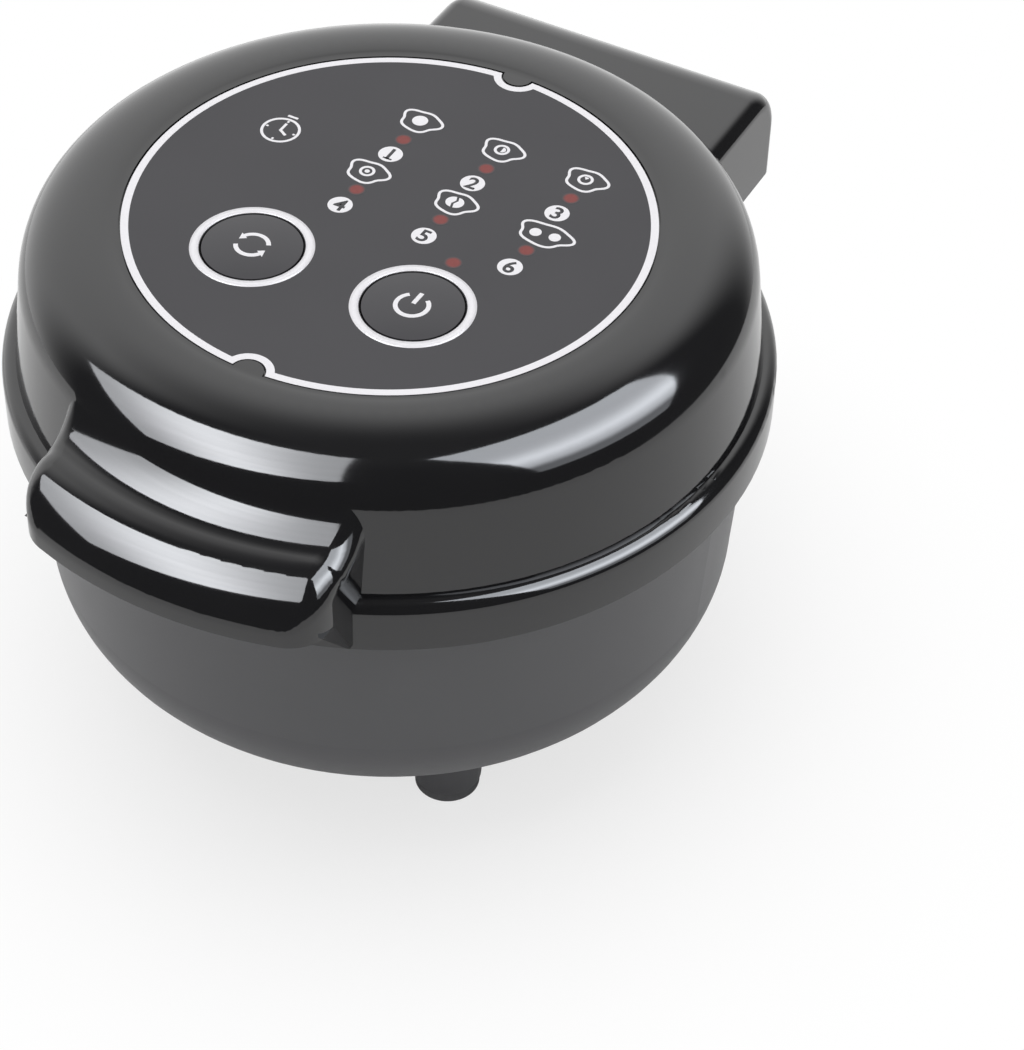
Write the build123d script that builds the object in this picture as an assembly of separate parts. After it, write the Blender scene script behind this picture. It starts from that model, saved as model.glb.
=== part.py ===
from build123d import *
import os
from math import atan2, cos, degrees, radians, sin, sqrt

# Electric egg cooker for one or two fried eggs: a round bowl on four legs, with a hinged domed lid.
# Millimetres. The origin is on the bowl's axis at table height, +Z is up, the handle points to -Y,
# the hinge is at +Y, and +X is on the right of someone who stands in front of the handle.

# Driving dimensions of the lid's outside
BAND_RADIUS = 67.5
BAND_BOTTOM = 66.0
BEAD_RADIUS = 2.5
WALL_FOOT = (65.0, 75.8)
SHOULDER = (63.2, 91.3)
CREST = (48.7, 101.7)
SHELL = 2.2
LID_ROOF = 98.5

# Control panel in the lid's top
PANEL_RADIUS = 45.4
PANEL_FLOOR = 100.7
PANEL_THICKNESS = 0.5
PANEL_GAP = 0.3
NOTCH_RADIUS = 3.0
BUTTON_Y = -18.5
SELECT_X = -15.9
START_X = 14.9
BUTTON_RADIUS = 8.5
BUTTON_GAP = 0.35
BUTTON_TRAVEL = 0.7
LED_COLUMNS = (-8.6, 7.8, 24.2)
LED_ROWS = (19.5, 3.4)
START_LED = (15.2, -5.5)
LED_RADIUS = 1.5

# Handle at the front of the lid
HANDLE_HALF_WIDTH = 28.2
HANDLE_FRONT = -78.0
HANDLE_ARC = 78.0
HANDLE_CORNER = 8.0
HANDLE_BOTTOM = 75.6
HANDLE_EDGE = 4.6
HANDLE_WALL = 2.4

# Tilt at which the handle's top leaves the shoulder, then the tilt reached by each arc and its radius:
# two hollow arcs, the crown and the lip
SWEEP_START = 74.0
SWEEP = ((29.0, 9.2), (0.0, 4.1), (34.0, 7.2), (68.0, 9.8))

# Neck at the rear of the lid, over the hinge
NECK_HALF_WIDTH = 33.3
NECK_REAR = 88.0
NECK_TOP = 86.5
NECK_REAR_ROUND = 9.5
NECK_SIDE_ROUND = 3.0

# Hinge
HINGE_Y = 76.0
HINGE_Z = 68.5
BARREL_RADIUS = 4.0
PIN_RADIUS = 2.0
PIN_CLEARANCE = 0.06
BARREL_END = 19.4
KNUCKLE = (20.2, 29.6)
PIN_HEAD = 1.0

# Base bowl and its four legs
RIM_RADIUS = 64.0
RIM_HEIGHT = 66.2
BOWL_SIDE = (62.2, 35.9)
BOWL_CORNER = 18.25
BOWL_WALL = 2.4
LEG_CIRCLE = 38.2
LEG_FOOT_RADIUS = 6.2
LEG_ROOT_RADIUS = 7.0
LEG_BOTTOM = 2.2
LEG_ROOT_ROUND = 1.6
LEG_ANGLES = (45, 135, 225, 315)
TUBE_TOP = 45.2

# Rim ring and pan
RING_TOP = 73.5
RING_INNER = 60.2
PAN_FLANGE = 60.0
PAN_TOP = 73.3
PAN_MOUTH = 58.0
PAN_FLOOR_RADIUS = 46.0
PAN_FLOOR = 55.5
PAN_WALL = 1.8

# Upper plate and its inner cover
COVER_BOTTOM = 73.8
COVER_TOP = 76.8
COVER_INNER = 55.6
COVER_OUTER = 62.2
PLATE_FLANGE = 56.9
PLATE_FLOOR = 80.0
PLATE_FLOOR_RADIUS = 50.0
PLATE_WALL = 1.8
LID_SCREW_CIRCLE = 59.5
LID_SCREW_ANGLES = (35, 145, 215, 325)

# Tubular heating elements: ring radius, tube radius, and half of the ring's open angle
LOWER_ELEMENT = (28.0, 3.2, 14.5)
UPPER_ELEMENT = (38.0, 2.6, 12.0)

# Circuit boards
LID_BOARD_RADIUS = 42.5
LID_BOARD_BOTTOM = 91.5
BOARD_THICKNESS = 1.6
LID_BOARD_POST = 26.9
POWER_BOARD = (48.0, 44.0)
POWER_BOARD_BOTTOM = 25.6
POWER_BOARD_POST = (20.5, 18.5)

# Slots for the loom beside the hinge: half their width, and their front and rear edges
LOOM_SLOT = 4.5
LOOM_SPAN = (65.0, 68.6)

# Cord gland
GLAND_HEIGHT = 36.0
GLAND_BORE = 3.1
GLAND_INNER_END = 56.0
GLAND_OUTER_END = 77.0


def rz(radius, height):
    """Point of a turned outline."""
    return (radius, 0, height)


def turned(edges):
    """Solid of revolution about the bowl's axis."""
    return revolve(make_face(edges), Axis.Z)


def chain(points):
    """Straight closed outline through the given radius and height pairs."""
    ends = points[1:] + points[:1]
    return [Line(rz(*a), rz(*b)) for a, b in zip(points, ends)]


def ring(inner, outer, low, high):
    """Flat ring about the bowl's axis."""
    return turned(chain([(inner, low), (outer, low), (outer, high), (inner, high)]))


def rod(radius, low, high, x=0.0, y=0.0):
    """Upright cylinder between two heights."""
    return Pos(x, y, (low + high) / 2) * Cylinder(radius, high - low)


def rod_x(radius, start, end, y, z):
    """Cylinder along X between two places."""
    return Pos((start + end) / 2, y, z) * Rot(0, 90, 0) * Cylinder(radius, end - start)


def rod_y(radius, start, end, x, z):
    """Cylinder along Y between two places."""
    return Pos(x, (start + end) / 2, z) * Rot(90, 0, 0) * Cylinder(radius, end - start)


def block(x, y, z):
    """Box between low and high bounds on each axis."""
    size = [high - low for low, high in (x, y, z)]
    middle = [(high + low) / 2 for low, high in (x, y, z)]
    return Pos(*middle) * Box(*size)


def spots(circle, angles):
    """Places on a circle about the bowl's axis."""
    return [(circle * cos(radians(a)), circle * sin(radians(a))) for a in angles]


def wire(radius, points):
    """Insulated wire swept along straight runs joined by round bends."""
    path = FilletPolyline(*points, radius=2.4 * radius)
    start = Plane(origin=path.position_at(0), z_dir=path.tangent_at(0))
    return sweep(start * Circle(radius), path=path)


def shoulder_curve(inset=0.0):
    """Rounded shoulder from the crest to the top of the side wall, and the direction of that wall."""
    wall = Vector(WALL_FOOT[0] - SHOULDER[0], 0, WALL_FOOT[1] - SHOULDER[1]).normalized()
    top = rz(CREST[0], CREST[1] - inset)
    side = rz(SHOULDER[0] - inset, SHOULDER[1] - inset * 0.3)
    return Spline([top, side], tangents=[(1, 0, 0), wall]), top, side


def dome_outside():
    """Outside of the lid without its handle and neck, as a full solid."""
    shoulder, crest, side = shoulder_curve()
    seat = PANEL_RADIUS + PANEL_GAP
    seat_edge = CREST[1] - 0.4
    half = sqrt(0.5) * BEAD_RADIUS
    bead_low = WALL_FOOT[1] - BEAD_RADIUS
    edges = [
        Line(rz(0, BAND_BOTTOM), rz(0, PANEL_FLOOR)),
        Line(rz(0, PANEL_FLOOR), rz(seat, PANEL_FLOOR)),
        Line(rz(seat, PANEL_FLOOR), rz(seat, seat_edge)),
        Spline([rz(seat, seat_edge), crest], tangents=[(1, 0, 0.25), (1, 0, 0)]),
        shoulder,
        Line(side, rz(*WALL_FOOT)),
        ThreePointArc(rz(*WALL_FOOT), rz(WALL_FOOT[0] + half, bead_low + half), rz(BAND_RADIUS, bead_low)),
        Line(rz(BAND_RADIUS, bead_low), rz(BAND_RADIUS, BAND_BOTTOM)),
        Line(rz(BAND_RADIUS, BAND_BOTTOM), rz(0, BAND_BOTTOM)),
    ]
    return turned(edges)


def dome_inside():
    """Space inside the lid, with a ledge above the skirt."""
    shoulder, crest, side = shoulder_curve(SHELL)
    roof = rz(CREST[0] - 1.5, LID_ROOF)
    skirt = BAND_RADIUS - SHELL
    ledge = WALL_FOOT[1] - 1.7
    foot = WALL_FOOT[0] - SHELL
    edges = [
        Line(rz(0, BAND_BOTTOM - 1), rz(0, LID_ROOF)),
        Line(rz(0, LID_ROOF), roof),
        Line(roof, crest),
        shoulder,
        Line(side, rz(foot, ledge)),
        Line(rz(foot, ledge), rz(skirt, ledge)),
        Line(rz(skirt, ledge), rz(skirt, BAND_BOTTOM - 1)),
        Line(rz(skirt, BAND_BOTTOM - 1), rz(0, BAND_BOTTOM - 1)),
    ]
    return turned(edges)


def tilt_step(point, start, end, radius):
    """Middle and end of an arc that turns the top surface from one tilt to another."""
    places = []
    for tilt in ((start + end) / 2, end):
        run = abs(radius * (sin(radians(tilt)) - sin(radians(start))))
        fall = abs(radius * (cos(radians(tilt)) - cos(radians(start))))
        places.append((point[0] + run, point[1] - fall))
    return places


def sweep_start():
    """Place on the shoulder where its tilt reaches the tilt at which the handle flows out of it."""
    shoulder = shoulder_curve()[0]
    for step in range(1, 400):
        along = shoulder.tangent_at(step / 400)
        if degrees(atan2(-along.Z, along.X)) >= SWEEP_START:
            place = shoulder.position_at(step / 400)
            return (place.X, place.Z - 0.06)


def handle_top(drop):
    """Solid under the handle's swept top surface: hollow first, then crowned, with a falling lip."""
    place = sweep_start()
    floor = HANDLE_BOTTOM - 2 * drop
    edges = [
        Line(rz(0, floor), rz(0, place[1] - drop)),
        Line(rz(0, place[1] - drop), rz(place[0], place[1] - drop)),
    ]
    tilt = SWEEP_START
    for next_tilt, radius in SWEEP:
        middle, end = tilt_step(place, tilt, next_tilt, radius)
        edges.append(ThreePointArc(*[rz(r, z - drop) for r, z in (place, middle, end)]))
        place, tilt = end, next_tilt
    run = 1.5
    far = (place[0] + run, place[1] - run * sin(radians(tilt)) / cos(radians(tilt)) - drop)
    edges.append(Line(rz(place[0], place[1] - drop), rz(*far)))
    edges.append(Line(rz(*far), rz(far[0], floor)))
    edges.append(Line(rz(far[0], floor), rz(0, floor)))
    return turned(edges)


def handle_plan(inset, corner, low, high):
    """Upright block of the handle's plan: a curved front between two straight sides."""
    half = HANDLE_HALF_WIDTH - inset
    front = HANDLE_FRONT + inset
    side = front + HANDLE_ARC - sqrt(HANDLE_ARC ** 2 - half ** 2)
    back = -40.0
    left, right = (-half, side, low), (half, side, low)
    edges = [
        ThreePointArc(left, (0, front, low), right),
        Line(right, (half, back, low)),
        Line((half, back, low), (-half, back, low)),
        Line((-half, back, low), left),
    ]
    slab = extrude(make_face(edges), high - low, dir=(0, 0, 1))
    uprights = [e for e in slab.edges().filter_by(Axis.Z) if e.center().Y < -60]
    return fillet(uprights, corner)


def handle_outside():
    """Handle with its long rounded edge."""
    body = handle_plan(0, HANDLE_CORNER, HANDLE_BOTTOM, CREST[1]) & handle_top(0)
    rim = []
    for edge in body.edges():
        place = edge.center()
        upright = abs(edge.tangent_at(0.5).Z) > 0.98
        outer = abs(place.X) > HANDLE_HALF_WIDTH - 6 or place.Y < HANDLE_FRONT + 0.2
        if place.Z > HANDLE_BOTTOM + 1 and place.Y < -41 and not upright and outer:
            rim.append(edge)
    return fillet(rim, HANDLE_EDGE)


def handle_pocket():
    """Hollow under the handle for the fingertips."""
    space = handle_plan(HANDLE_WALL, HANDLE_CORNER - HANDLE_WALL, HANDLE_BOTTOM - 5, CREST[1])
    space = space & handle_top(HANDLE_WALL)
    return space - rod(BAND_RADIUS - 0.8, 60, 110)


def handle_gussets():
    """Small ribs that tie the ends of the handle to the band below."""
    ribs = []
    for side in (-1, 1):
        x = side * (HANDLE_HALF_WIDTH - 1.2)
        low, high = BAND_BOTTOM + 1, HANDLE_BOTTOM + 1
        outline = Polyline((x, -58, low), (x, -62.5, low), (x, -70.5, high), (x, -58, high), close=True)
        rib = extrude(make_face(outline), 1.2, both=True, dir=(1, 0, 0))
        ribs.append(rib - rod(BAND_RADIUS - 1.5, 60, 90))
    return ribs


def neck_outside():
    """Box over the hinge, with a large rounding at its top rear edge."""
    body = block((-NECK_HALF_WIDTH, NECK_HALF_WIDTH), (40, NECK_REAR), (BAND_BOTTOM, NECK_TOP))
    rear = [e for e in body.edges().filter_by(Axis.X) if e.center().Y > 80 and e.center().Z > 80]
    body = fillet(rear, NECK_REAR_ROUND)
    sides = []
    for edge in body.edges():
        place = edge.center()
        if abs(abs(place.X) - NECK_HALF_WIDTH) < 0.1 and place.Y > 50 and place.Z > BAND_BOTTOM + 1:
            sides.append(edge)
    return fillet(sides, NECK_SIDE_ROUND)


def neck_inside():
    """Space inside the neck, open below and towards the dome."""
    half = NECK_HALF_WIDTH - SHELL
    body = block((-half, half), (45, NECK_REAR - SHELL), (BAND_BOTTOM - 6, NECK_TOP - SHELL))
    rear = [e for e in body.edges().filter_by(Axis.X) if e.center().Y > 80 and e.center().Z > 80]
    return fillet(rear, NECK_REAR_ROUND - SHELL)


def lid_shell():
    """Glossy top shell of the lid: dome, band, handle and neck in one moulding."""
    shell = dome_outside() + handle_outside() + neck_outside()
    for rib in handle_gussets():
        shell += rib
    shell -= dome_inside()
    shell -= neck_inside()
    shell -= handle_pocket()
    for x, y in spots(LID_SCREW_CIRCLE, LID_SCREW_ANGLES):
        boss = rod(2.5, COVER_TOP + 0.1, SHOULDER[1], x, y)
        shell += boss
        shell -= rod(1.1, COVER_TOP, COVER_TOP + 9, x, y)
    for x in (-LID_BOARD_POST, LID_BOARD_POST):
        for y in (-LID_BOARD_POST, LID_BOARD_POST):
            shell += rod(2.6, LID_BOARD_BOTTOM + BOARD_THICKNESS, LID_ROOF + 0.5, x, y)
            shell -= rod(0.9, LID_BOARD_BOTTOM, LID_ROOF - 0.5, x, y)
    for x in (SELECT_X, START_X):
        shell -= rod(BUTTON_RADIUS + BUTTON_GAP, LID_ROOF - 1, CREST[1] + 1, x, BUTTON_Y)
    for x, y in led_places():
        shell -= rod(LED_RADIUS + 0.2, LID_ROOF - 1, PANEL_FLOOR + 1, x, y)
    seat = PANEL_RADIUS + PANEL_GAP
    for y in (-seat, seat):
        bump = rod(NOTCH_RADIUS - 0.3, PANEL_FLOOR - 0.5, CREST[1] - 0.4, 0, y)
        shell += bump & rod(seat + 0.5, 90, 110)
    return shell


def led_places():
    """Six lamps in two rows for the cooking programs, and one for the start button."""
    return [(x, y) for y in LED_ROWS for x in LED_COLUMNS] + [START_LED]


def control_panel():
    """Printed overlay disc in the lid's top, with two notches and two button holes."""
    top = PANEL_FLOOR + PANEL_THICKNESS
    panel = rod(PANEL_RADIUS, PANEL_FLOOR, top)
    for x in (SELECT_X, START_X):
        panel -= rod(BUTTON_RADIUS + BUTTON_GAP, PANEL_FLOOR - 1, top + 1, x, BUTTON_Y)
    seat = PANEL_RADIUS + PANEL_GAP
    for y in (-seat, seat):
        panel -= rod(NOTCH_RADIUS, PANEL_FLOOR - 1, top + 1, 0, y)
    return panel


def button(x):
    """Push button: a slightly domed cap, a retaining flange and a short stem."""
    edge = PANEL_FLOOR + PANEL_THICKNESS
    crown = 0.45
    flange = (LID_ROOF - 1.1, LID_ROOF - 0.35)
    outline = [
        Line(rz(0, flange[0]), rz(0, edge + crown)),
        ThreePointArc(rz(0, edge + crown), rz(BUTTON_RADIUS / 2, edge + crown * 0.75), rz(BUTTON_RADIUS, edge)),
        Line(rz(BUTTON_RADIUS, edge), rz(BUTTON_RADIUS, flange[1])),
        Line(rz(BUTTON_RADIUS, flange[1]), rz(BUTTON_RADIUS + 1.1, flange[1])),
        Line(rz(BUTTON_RADIUS + 1.1, flange[1]), rz(BUTTON_RADIUS + 1.1, flange[0])),
        Line(rz(BUTTON_RADIUS + 1.1, flange[0]), rz(0, flange[0])),
    ]
    cap = turned(outline) + rod(2.4, LID_ROOF - 1.5, flange[0] + 0.2)
    return Pos(x, BUTTON_Y, 0) * cap


def lid_inner_cover():
    """Frame under the lid that holds the upper plate and carries the two hinge barrels."""
    cover = ring(COVER_INNER, COVER_OUTER, COVER_BOTTOM, COVER_TOP)
    half = NECK_HALF_WIDTH - SHELL - 0.4
    shelf = block((-half, half), (50, NECK_REAR - SHELL - 0.4), (COVER_TOP - 2.0, COVER_TOP))
    cover += shelf - rod(COVER_INNER, 60, 90)
    for side in (-1, 1):
        ends = sorted((side * 0.3, side * BARREL_END))
        web = block(ends, (HINGE_Y - 2.6, HINGE_Y + 2.6), (HINGE_Z, COVER_TOP - 1))
        cover += rod_x(BARREL_RADIUS, ends[0], ends[1], HINGE_Y, HINGE_Z) + web
        cover -= rod_x(PIN_RADIUS + PIN_CLEARANCE, ends[0] - 1, ends[1] + 1, HINGE_Y, HINGE_Z)
    cover -= block((-LOOM_SLOT, LOOM_SLOT), LOOM_SPAN, (70, 80))
    for x, y in spots(LID_SCREW_CIRCLE, LID_SCREW_ANGLES):
        cover -= rod(1.3, COVER_BOTTOM - 1, COVER_TOP + 1, x, y)
        cover -= rod(2.1, COVER_BOTTOM - 1, COVER_BOTTOM + 1.4, x, y)
    return cover


def upper_plate():
    """Pressed and coated cooking plate in the lid, with three bosses on its back."""
    wall = PLATE_WALL
    rim = (PLATE_FLANGE - 1.9, COVER_TOP)
    outline = [
        (0, PLATE_FLOOR), (PLATE_FLOOR_RADIUS, PLATE_FLOOR), (PLATE_FLOOR_RADIUS + 1.6, PLATE_FLOOR - 0.9),
        (PLATE_FLOOR_RADIUS + 3.0, COVER_TOP + 0.8), (rim[0] - 1.2, COVER_TOP + 0.8), rim,
        (PLATE_FLANGE, COVER_TOP), (PLATE_FLANGE, COVER_TOP + 1.4), (rim[0] + 0.2, COVER_TOP + 2.4),
        (PLATE_FLOOR_RADIUS + 2.6, PLATE_FLOOR + wall), (0, PLATE_FLOOR + wall),
    ]
    plate = turned(chain(outline))
    for x, y in spots(30, (90, 210, 330)):
        plate += rod(3.0, PLATE_FLOOR + 0.5, 88.0, x, y)
        plate -= rod(1.2, PLATE_FLOOR + wall + 0.6, 89.0, x, y)
    return plate


def lower_pan():
    """Shallow coated frying pan with a sloping wall and four threaded bosses under it."""
    low = PAN_FLOOR - PAN_WALL
    corner = 5.0
    slope = Vector(PAN_MOUTH - PAN_FLOOR_RADIUS, 0, PAN_TOP - PAN_FLOOR).normalized()
    floor_end = rz(PAN_FLOOR_RADIUS - corner * 0.6, PAN_FLOOR)
    wall_low = rz(PAN_FLOOR_RADIUS + slope.X * corner * 0.6, PAN_FLOOR + slope.Z * corner * 0.6)
    outer_low = rz(PAN_FLOOR_RADIUS + PAN_WALL + 1.5, low + 2.4)
    edges = [
        Line(rz(0, PAN_FLOOR), floor_end),
        Spline([floor_end, wall_low], tangents=[(1, 0, 0), slope]),
        Line(wall_low, rz(PAN_MOUTH, PAN_TOP)),
        Line(rz(PAN_MOUTH, PAN_TOP), rz(PAN_FLANGE, PAN_TOP)),
        Line(rz(PAN_FLANGE, PAN_TOP), rz(PAN_FLANGE, PAN_TOP - 1.6)),
        Line(rz(PAN_FLANGE, PAN_TOP - 1.6), rz(PAN_MOUTH + 0.9, PAN_TOP - 1.6)),
        Line(rz(PAN_MOUTH + 0.9, PAN_TOP - 1.6), outer_low),
        Line(outer_low, rz(PAN_FLOOR_RADIUS - 1, low)),
        Line(rz(PAN_FLOOR_RADIUS - 1, low), rz(0, low)),
        Line(rz(0, low), rz(0, PAN_FLOOR)),
    ]
    pan = turned(edges)
    for x, y in spots(LEG_CIRCLE, LEG_ANGLES):
        pan += rod(3.4, TUBE_TOP + 0.8, low + 0.5, x, y)
        pan -= rod(1.5, TUBE_TOP, low - 1.5, x, y)
    return pan


def base_ring():
    """Ring on the bowl's rim that seats the pan, with the fixed half of the hinge at its rear."""
    lip = PAN_TOP - 1.6
    outline = [
        (59.2, 63.4), (61.2, 63.4), (61.2, RIM_HEIGHT), (62.6, RIM_HEIGHT), (62.6, RIM_HEIGHT + 0.5),
        (RIM_RADIUS, RIM_HEIGHT + 0.5), (RIM_RADIUS, RING_TOP - 0.6), (RIM_RADIUS - 0.6, RING_TOP),
        (RING_INNER, RING_TOP), (RING_INNER, lip), (59.2, lip),
    ]
    body = turned(chain(outline))
    half = KNUCKLE[1]
    tab = block((-half, half), (50, HINGE_Y - BARREL_RADIUS - 0.6), (RIM_HEIGHT + 0.6, RING_TOP - 1.0))
    body += tab - rod(61.5, 50, 90)
    for side in (-1, 1):
        ends = sorted((side * KNUCKLE[0], side * KNUCKLE[1]))
        arm = block(ends, (65, HINGE_Y), (RIM_HEIGHT + 0.6, RING_TOP - 1.0))
        body += arm + rod_x(BARREL_RADIUS, ends[0], ends[1], HINGE_Y, HINGE_Z)
        body -= rod_x(PIN_RADIUS, ends[0] - 1, ends[1] + 1, HINGE_Y, HINGE_Z)
    body -= block((-LOOM_SLOT, LOOM_SLOT), LOOM_SPAN, (60, 80))
    body -= block((-LOOM_SLOT, LOOM_SLOT), (50, 70), (60, RIM_HEIGHT + 0.6))
    return body


def bowl_outline(inset):
    """Turned outline of the bowl, moved inwards by the given distance."""
    floor = BOWL_SIDE[1] - BOWL_CORNER + inset
    corner = BOWL_CORNER - inset
    centre = (BOWL_SIDE[0] - BOWL_CORNER, BOWL_SIDE[1])
    top = RIM_HEIGHT + inset
    half = sqrt(0.5) * corner
    start = rz(centre[0], floor)
    middle = rz(centre[0] + half, centre[1] - half)
    side = rz(centre[0] + corner, centre[1])
    rim = rz(RIM_RADIUS - inset, top)
    return [
        Line(rz(0, floor), start),
        ThreePointArc(start, middle, side),
        Line(side, rim),
        Line(rim, rz(0, top)),
        Line(rz(0, top), rz(0, floor)),
    ]


def base_housing():
    """Bowl with four tapered legs, a long screw tube over each leg and posts for the power board."""
    bowl = turned(bowl_outline(0))
    floor = BOWL_SIDE[1] - BOWL_CORNER
    for x, y in spots(LEG_CIRCLE, LEG_ANGLES):
        height = floor + 3 - LEG_BOTTOM
        leg = Pos(x, y, LEG_BOTTOM + height / 2) * Cone(LEG_FOOT_RADIUS, LEG_ROOT_RADIUS, height)
        joined = bowl + leg
        bowl = fillet(new_edges(bowl, leg, combined=joined), LEG_ROOT_ROUND)
    bowl -= turned(bowl_outline(BOWL_WALL))
    for x, y in spots(LEG_CIRCLE, LEG_ANGLES):
        bowl += rod(4.0, floor + 1, TUBE_TOP, x, y)
        bowl -= rod(1.9, 0, TUBE_TOP + 1, x, y)
        bowl -= rod(3.5, 0, 8.0, x, y)
    for x in (-POWER_BOARD_POST[0], POWER_BOARD_POST[0]):
        for y in (-POWER_BOARD_POST[1], POWER_BOARD_POST[1]):
            bowl += rod(2.4, floor + 1, POWER_BOARD_BOTTOM, x, y)
            bowl -= rod(0.9, floor + BOWL_WALL, POWER_BOARD_BOTTOM + 1, x, y)
    bowl -= rod_y(4.6, 50, 70, 0, GLAND_HEIGHT)
    bowl -= block((-LOOM_SLOT, LOOM_SLOT), (50, 70), (61.0, 70))
    return bowl


def cord_gland():
    """Rubber gland where the power cord enters the bowl at the rear."""
    side = BOWL_SIDE[0]
    gland = rod_y(4.5, GLAND_INNER_END, side + 2, 0, GLAND_HEIGHT)
    gland += rod_y(6.4, side + 0.5, side + 2.4, 0, GLAND_HEIGHT)
    gland += rod_y(6.0, GLAND_INNER_END, side - BOWL_WALL - 1.4, 0, GLAND_HEIGHT)
    boot = GLAND_OUTER_END - side - 2
    gland += Pos(0, side + 2 + boot / 2, GLAND_HEIGHT) * Rot(-90, 0, 0) * Cone(5.2, 4.3, boot)
    for step in range(4):
        start = side + 4.4 + step * 2.6
        core = rod_y(4.1, start - 1, start + 3, 0, GLAND_HEIGHT)
        gland -= rod_y(6, start, start + 1.1, 0, GLAND_HEIGHT) - core
    return gland - rod_y(GLAND_BORE, GLAND_INNER_END - 1, GLAND_OUTER_END + 1, 0, GLAND_HEIGHT)


def foot_pads():
    """Rubber pads pressed into the ends of the four legs."""
    pads = []
    for x, y in spots(LEG_CIRCLE, LEG_ANGLES):
        pad = rod(LEG_FOOT_RADIUS - 0.3, 0, LEG_BOTTOM, x, y)
        pads.append(pad + rod(3.4, LEG_BOTTOM - 0.2, 5.0, x, y))
    return Compound(children=pads)


def tie_screws():
    """Long screws from the legs up into the pan, clamping bowl, heat shield, ring and pan together."""
    screws = []
    for x, y in spots(LEG_CIRCLE, LEG_ANGLES):
        screws.append(rod(1.5, 7.9, PAN_FLOOR - PAN_WALL - 2.2, x, y) + rod(2.9, 5.8, 8.0, x, y))
    return Compound(children=screws)


def lower_heat_shield():
    """Thin steel dish under the pan that rests on the four screw tubes."""
    shield = rod(50, TUBE_TOP, TUBE_TOP + 0.8) + ring(49.2, 50, TUBE_TOP, TUBE_TOP + 5)
    for x, y in spots(LEG_CIRCLE, LEG_ANGLES):
        shield -= rod(1.9, TUBE_TOP - 1, TUBE_TOP + 2, x, y)
    for x, y in heater_ends(LOWER_ELEMENT):
        shield -= rod(3.0, TUBE_TOP - 1, TUBE_TOP + 2, x, y)
    shield -= rod(2.6, TUBE_TOP - 1, TUBE_TOP + 2, 0, 12)
    return shield


def heater_ends(element):
    """Places of the two ends of a heating element, left then right."""
    circle, tube, gap = element
    return spots(circle, (90 + gap, 90 - gap))


def heater(element, height, stub):
    """Tubular heating element: most of a ring, with two ends that turn towards the wires."""
    circle, tube, gap = element
    path = CenterArc((0, 0, height), circle, 90 + gap, 360 - 2 * gap)
    profile = Plane(origin=path.position_at(0), z_dir=path.tangent_at(0)) * Circle(tube)
    loop = sweep(profile, path=path)
    for x, y in heater_ends(element):
        end = height + stub
        loop += Pos(x, y, height) * Sphere(tube)
        loop += rod(tube * 0.72, min(height, end), max(height, end), x, y)
        loop += rod(tube * 0.35, min(end, end + stub / 2), max(end, end + stub / 2), x, y)
    return loop


def lower_thermostat():
    """Snap disc thermostat under the middle of the pan, with two tabs."""
    top = PAN_FLOOR - PAN_WALL
    body = rod(7.5, top - 4.2, top)
    for x in (-4, 4):
        body += block((x - 1.6, x + 1.6), (-0.4, 0.4), (top - 7.4, top - 4))
    return body


def thermal_fuse():
    """Small cylindrical fuse with its two leads, held beside the thermostat."""
    height = PAN_FLOOR - PAN_WALL - 2.2
    return rod_x(2.0, -5.5, 5.5, 12, height) + rod_x(0.5, -9.0, 9.0, 12, height)


def power_board():
    """Mains board on four posts in the bowl."""
    half_x, half_y = POWER_BOARD[0] / 2, POWER_BOARD[1] / 2
    low = POWER_BOARD_BOTTOM
    board = block((-half_x, half_x), (-half_y, half_y), (low, low + BOARD_THICKNESS))
    for x in (-POWER_BOARD_POST[0], POWER_BOARD_POST[0]):
        for y in (-POWER_BOARD_POST[1], POWER_BOARD_POST[1]):
            board -= rod(1.3, low - 1, low + 3, x, y)
    return board


def board_screws(places, seat, down):
    """Pan head screws through a board into its posts."""
    screws = []
    for x, y in places:
        head = (seat, seat + 1.5) if down else (seat - 1.5, seat)
        shank = (seat - 5.0, seat + 0.1) if down else (seat - 0.1, seat + 5.0)
        screws.append(rod(2.2, head[0], head[1], x, y) + rod(0.9, shank[0], shank[1], x, y))
    return Compound(children=screws)


def square(half_x, half_y):
    """Corners of a rectangle about the axis."""
    return [(x, y) for x in (-half_x, half_x) for y in (-half_y, half_y)]


def terminal_block():
    """Two way terminal block for the mains cord, with its clamp screws."""
    top = POWER_BOARD_BOTTOM + BOARD_THICKNESS
    body = block((2, 14), (10, 19), (top, top + 9))
    for x in (5, 11):
        body -= rod(1.7, top + 6.5, top + 10, x, 14.5)
        body += rod(1.4, top + 6.0, top + 7.9, x, 14.5)
    return body


def transformer():
    """Small transformer for the low voltage supply: a core and a bobbin."""
    top = POWER_BOARD_BOTTOM + BOARD_THICKNESS
    core = block((-1, 19), (-15, 1), (top, top + 14)) - block((2, 16), (-16, 2), (top + 3, top + 11))
    return core + block((2.6, 15.4), (-14, 0), (top + 0.5, top + 13.5))


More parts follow.
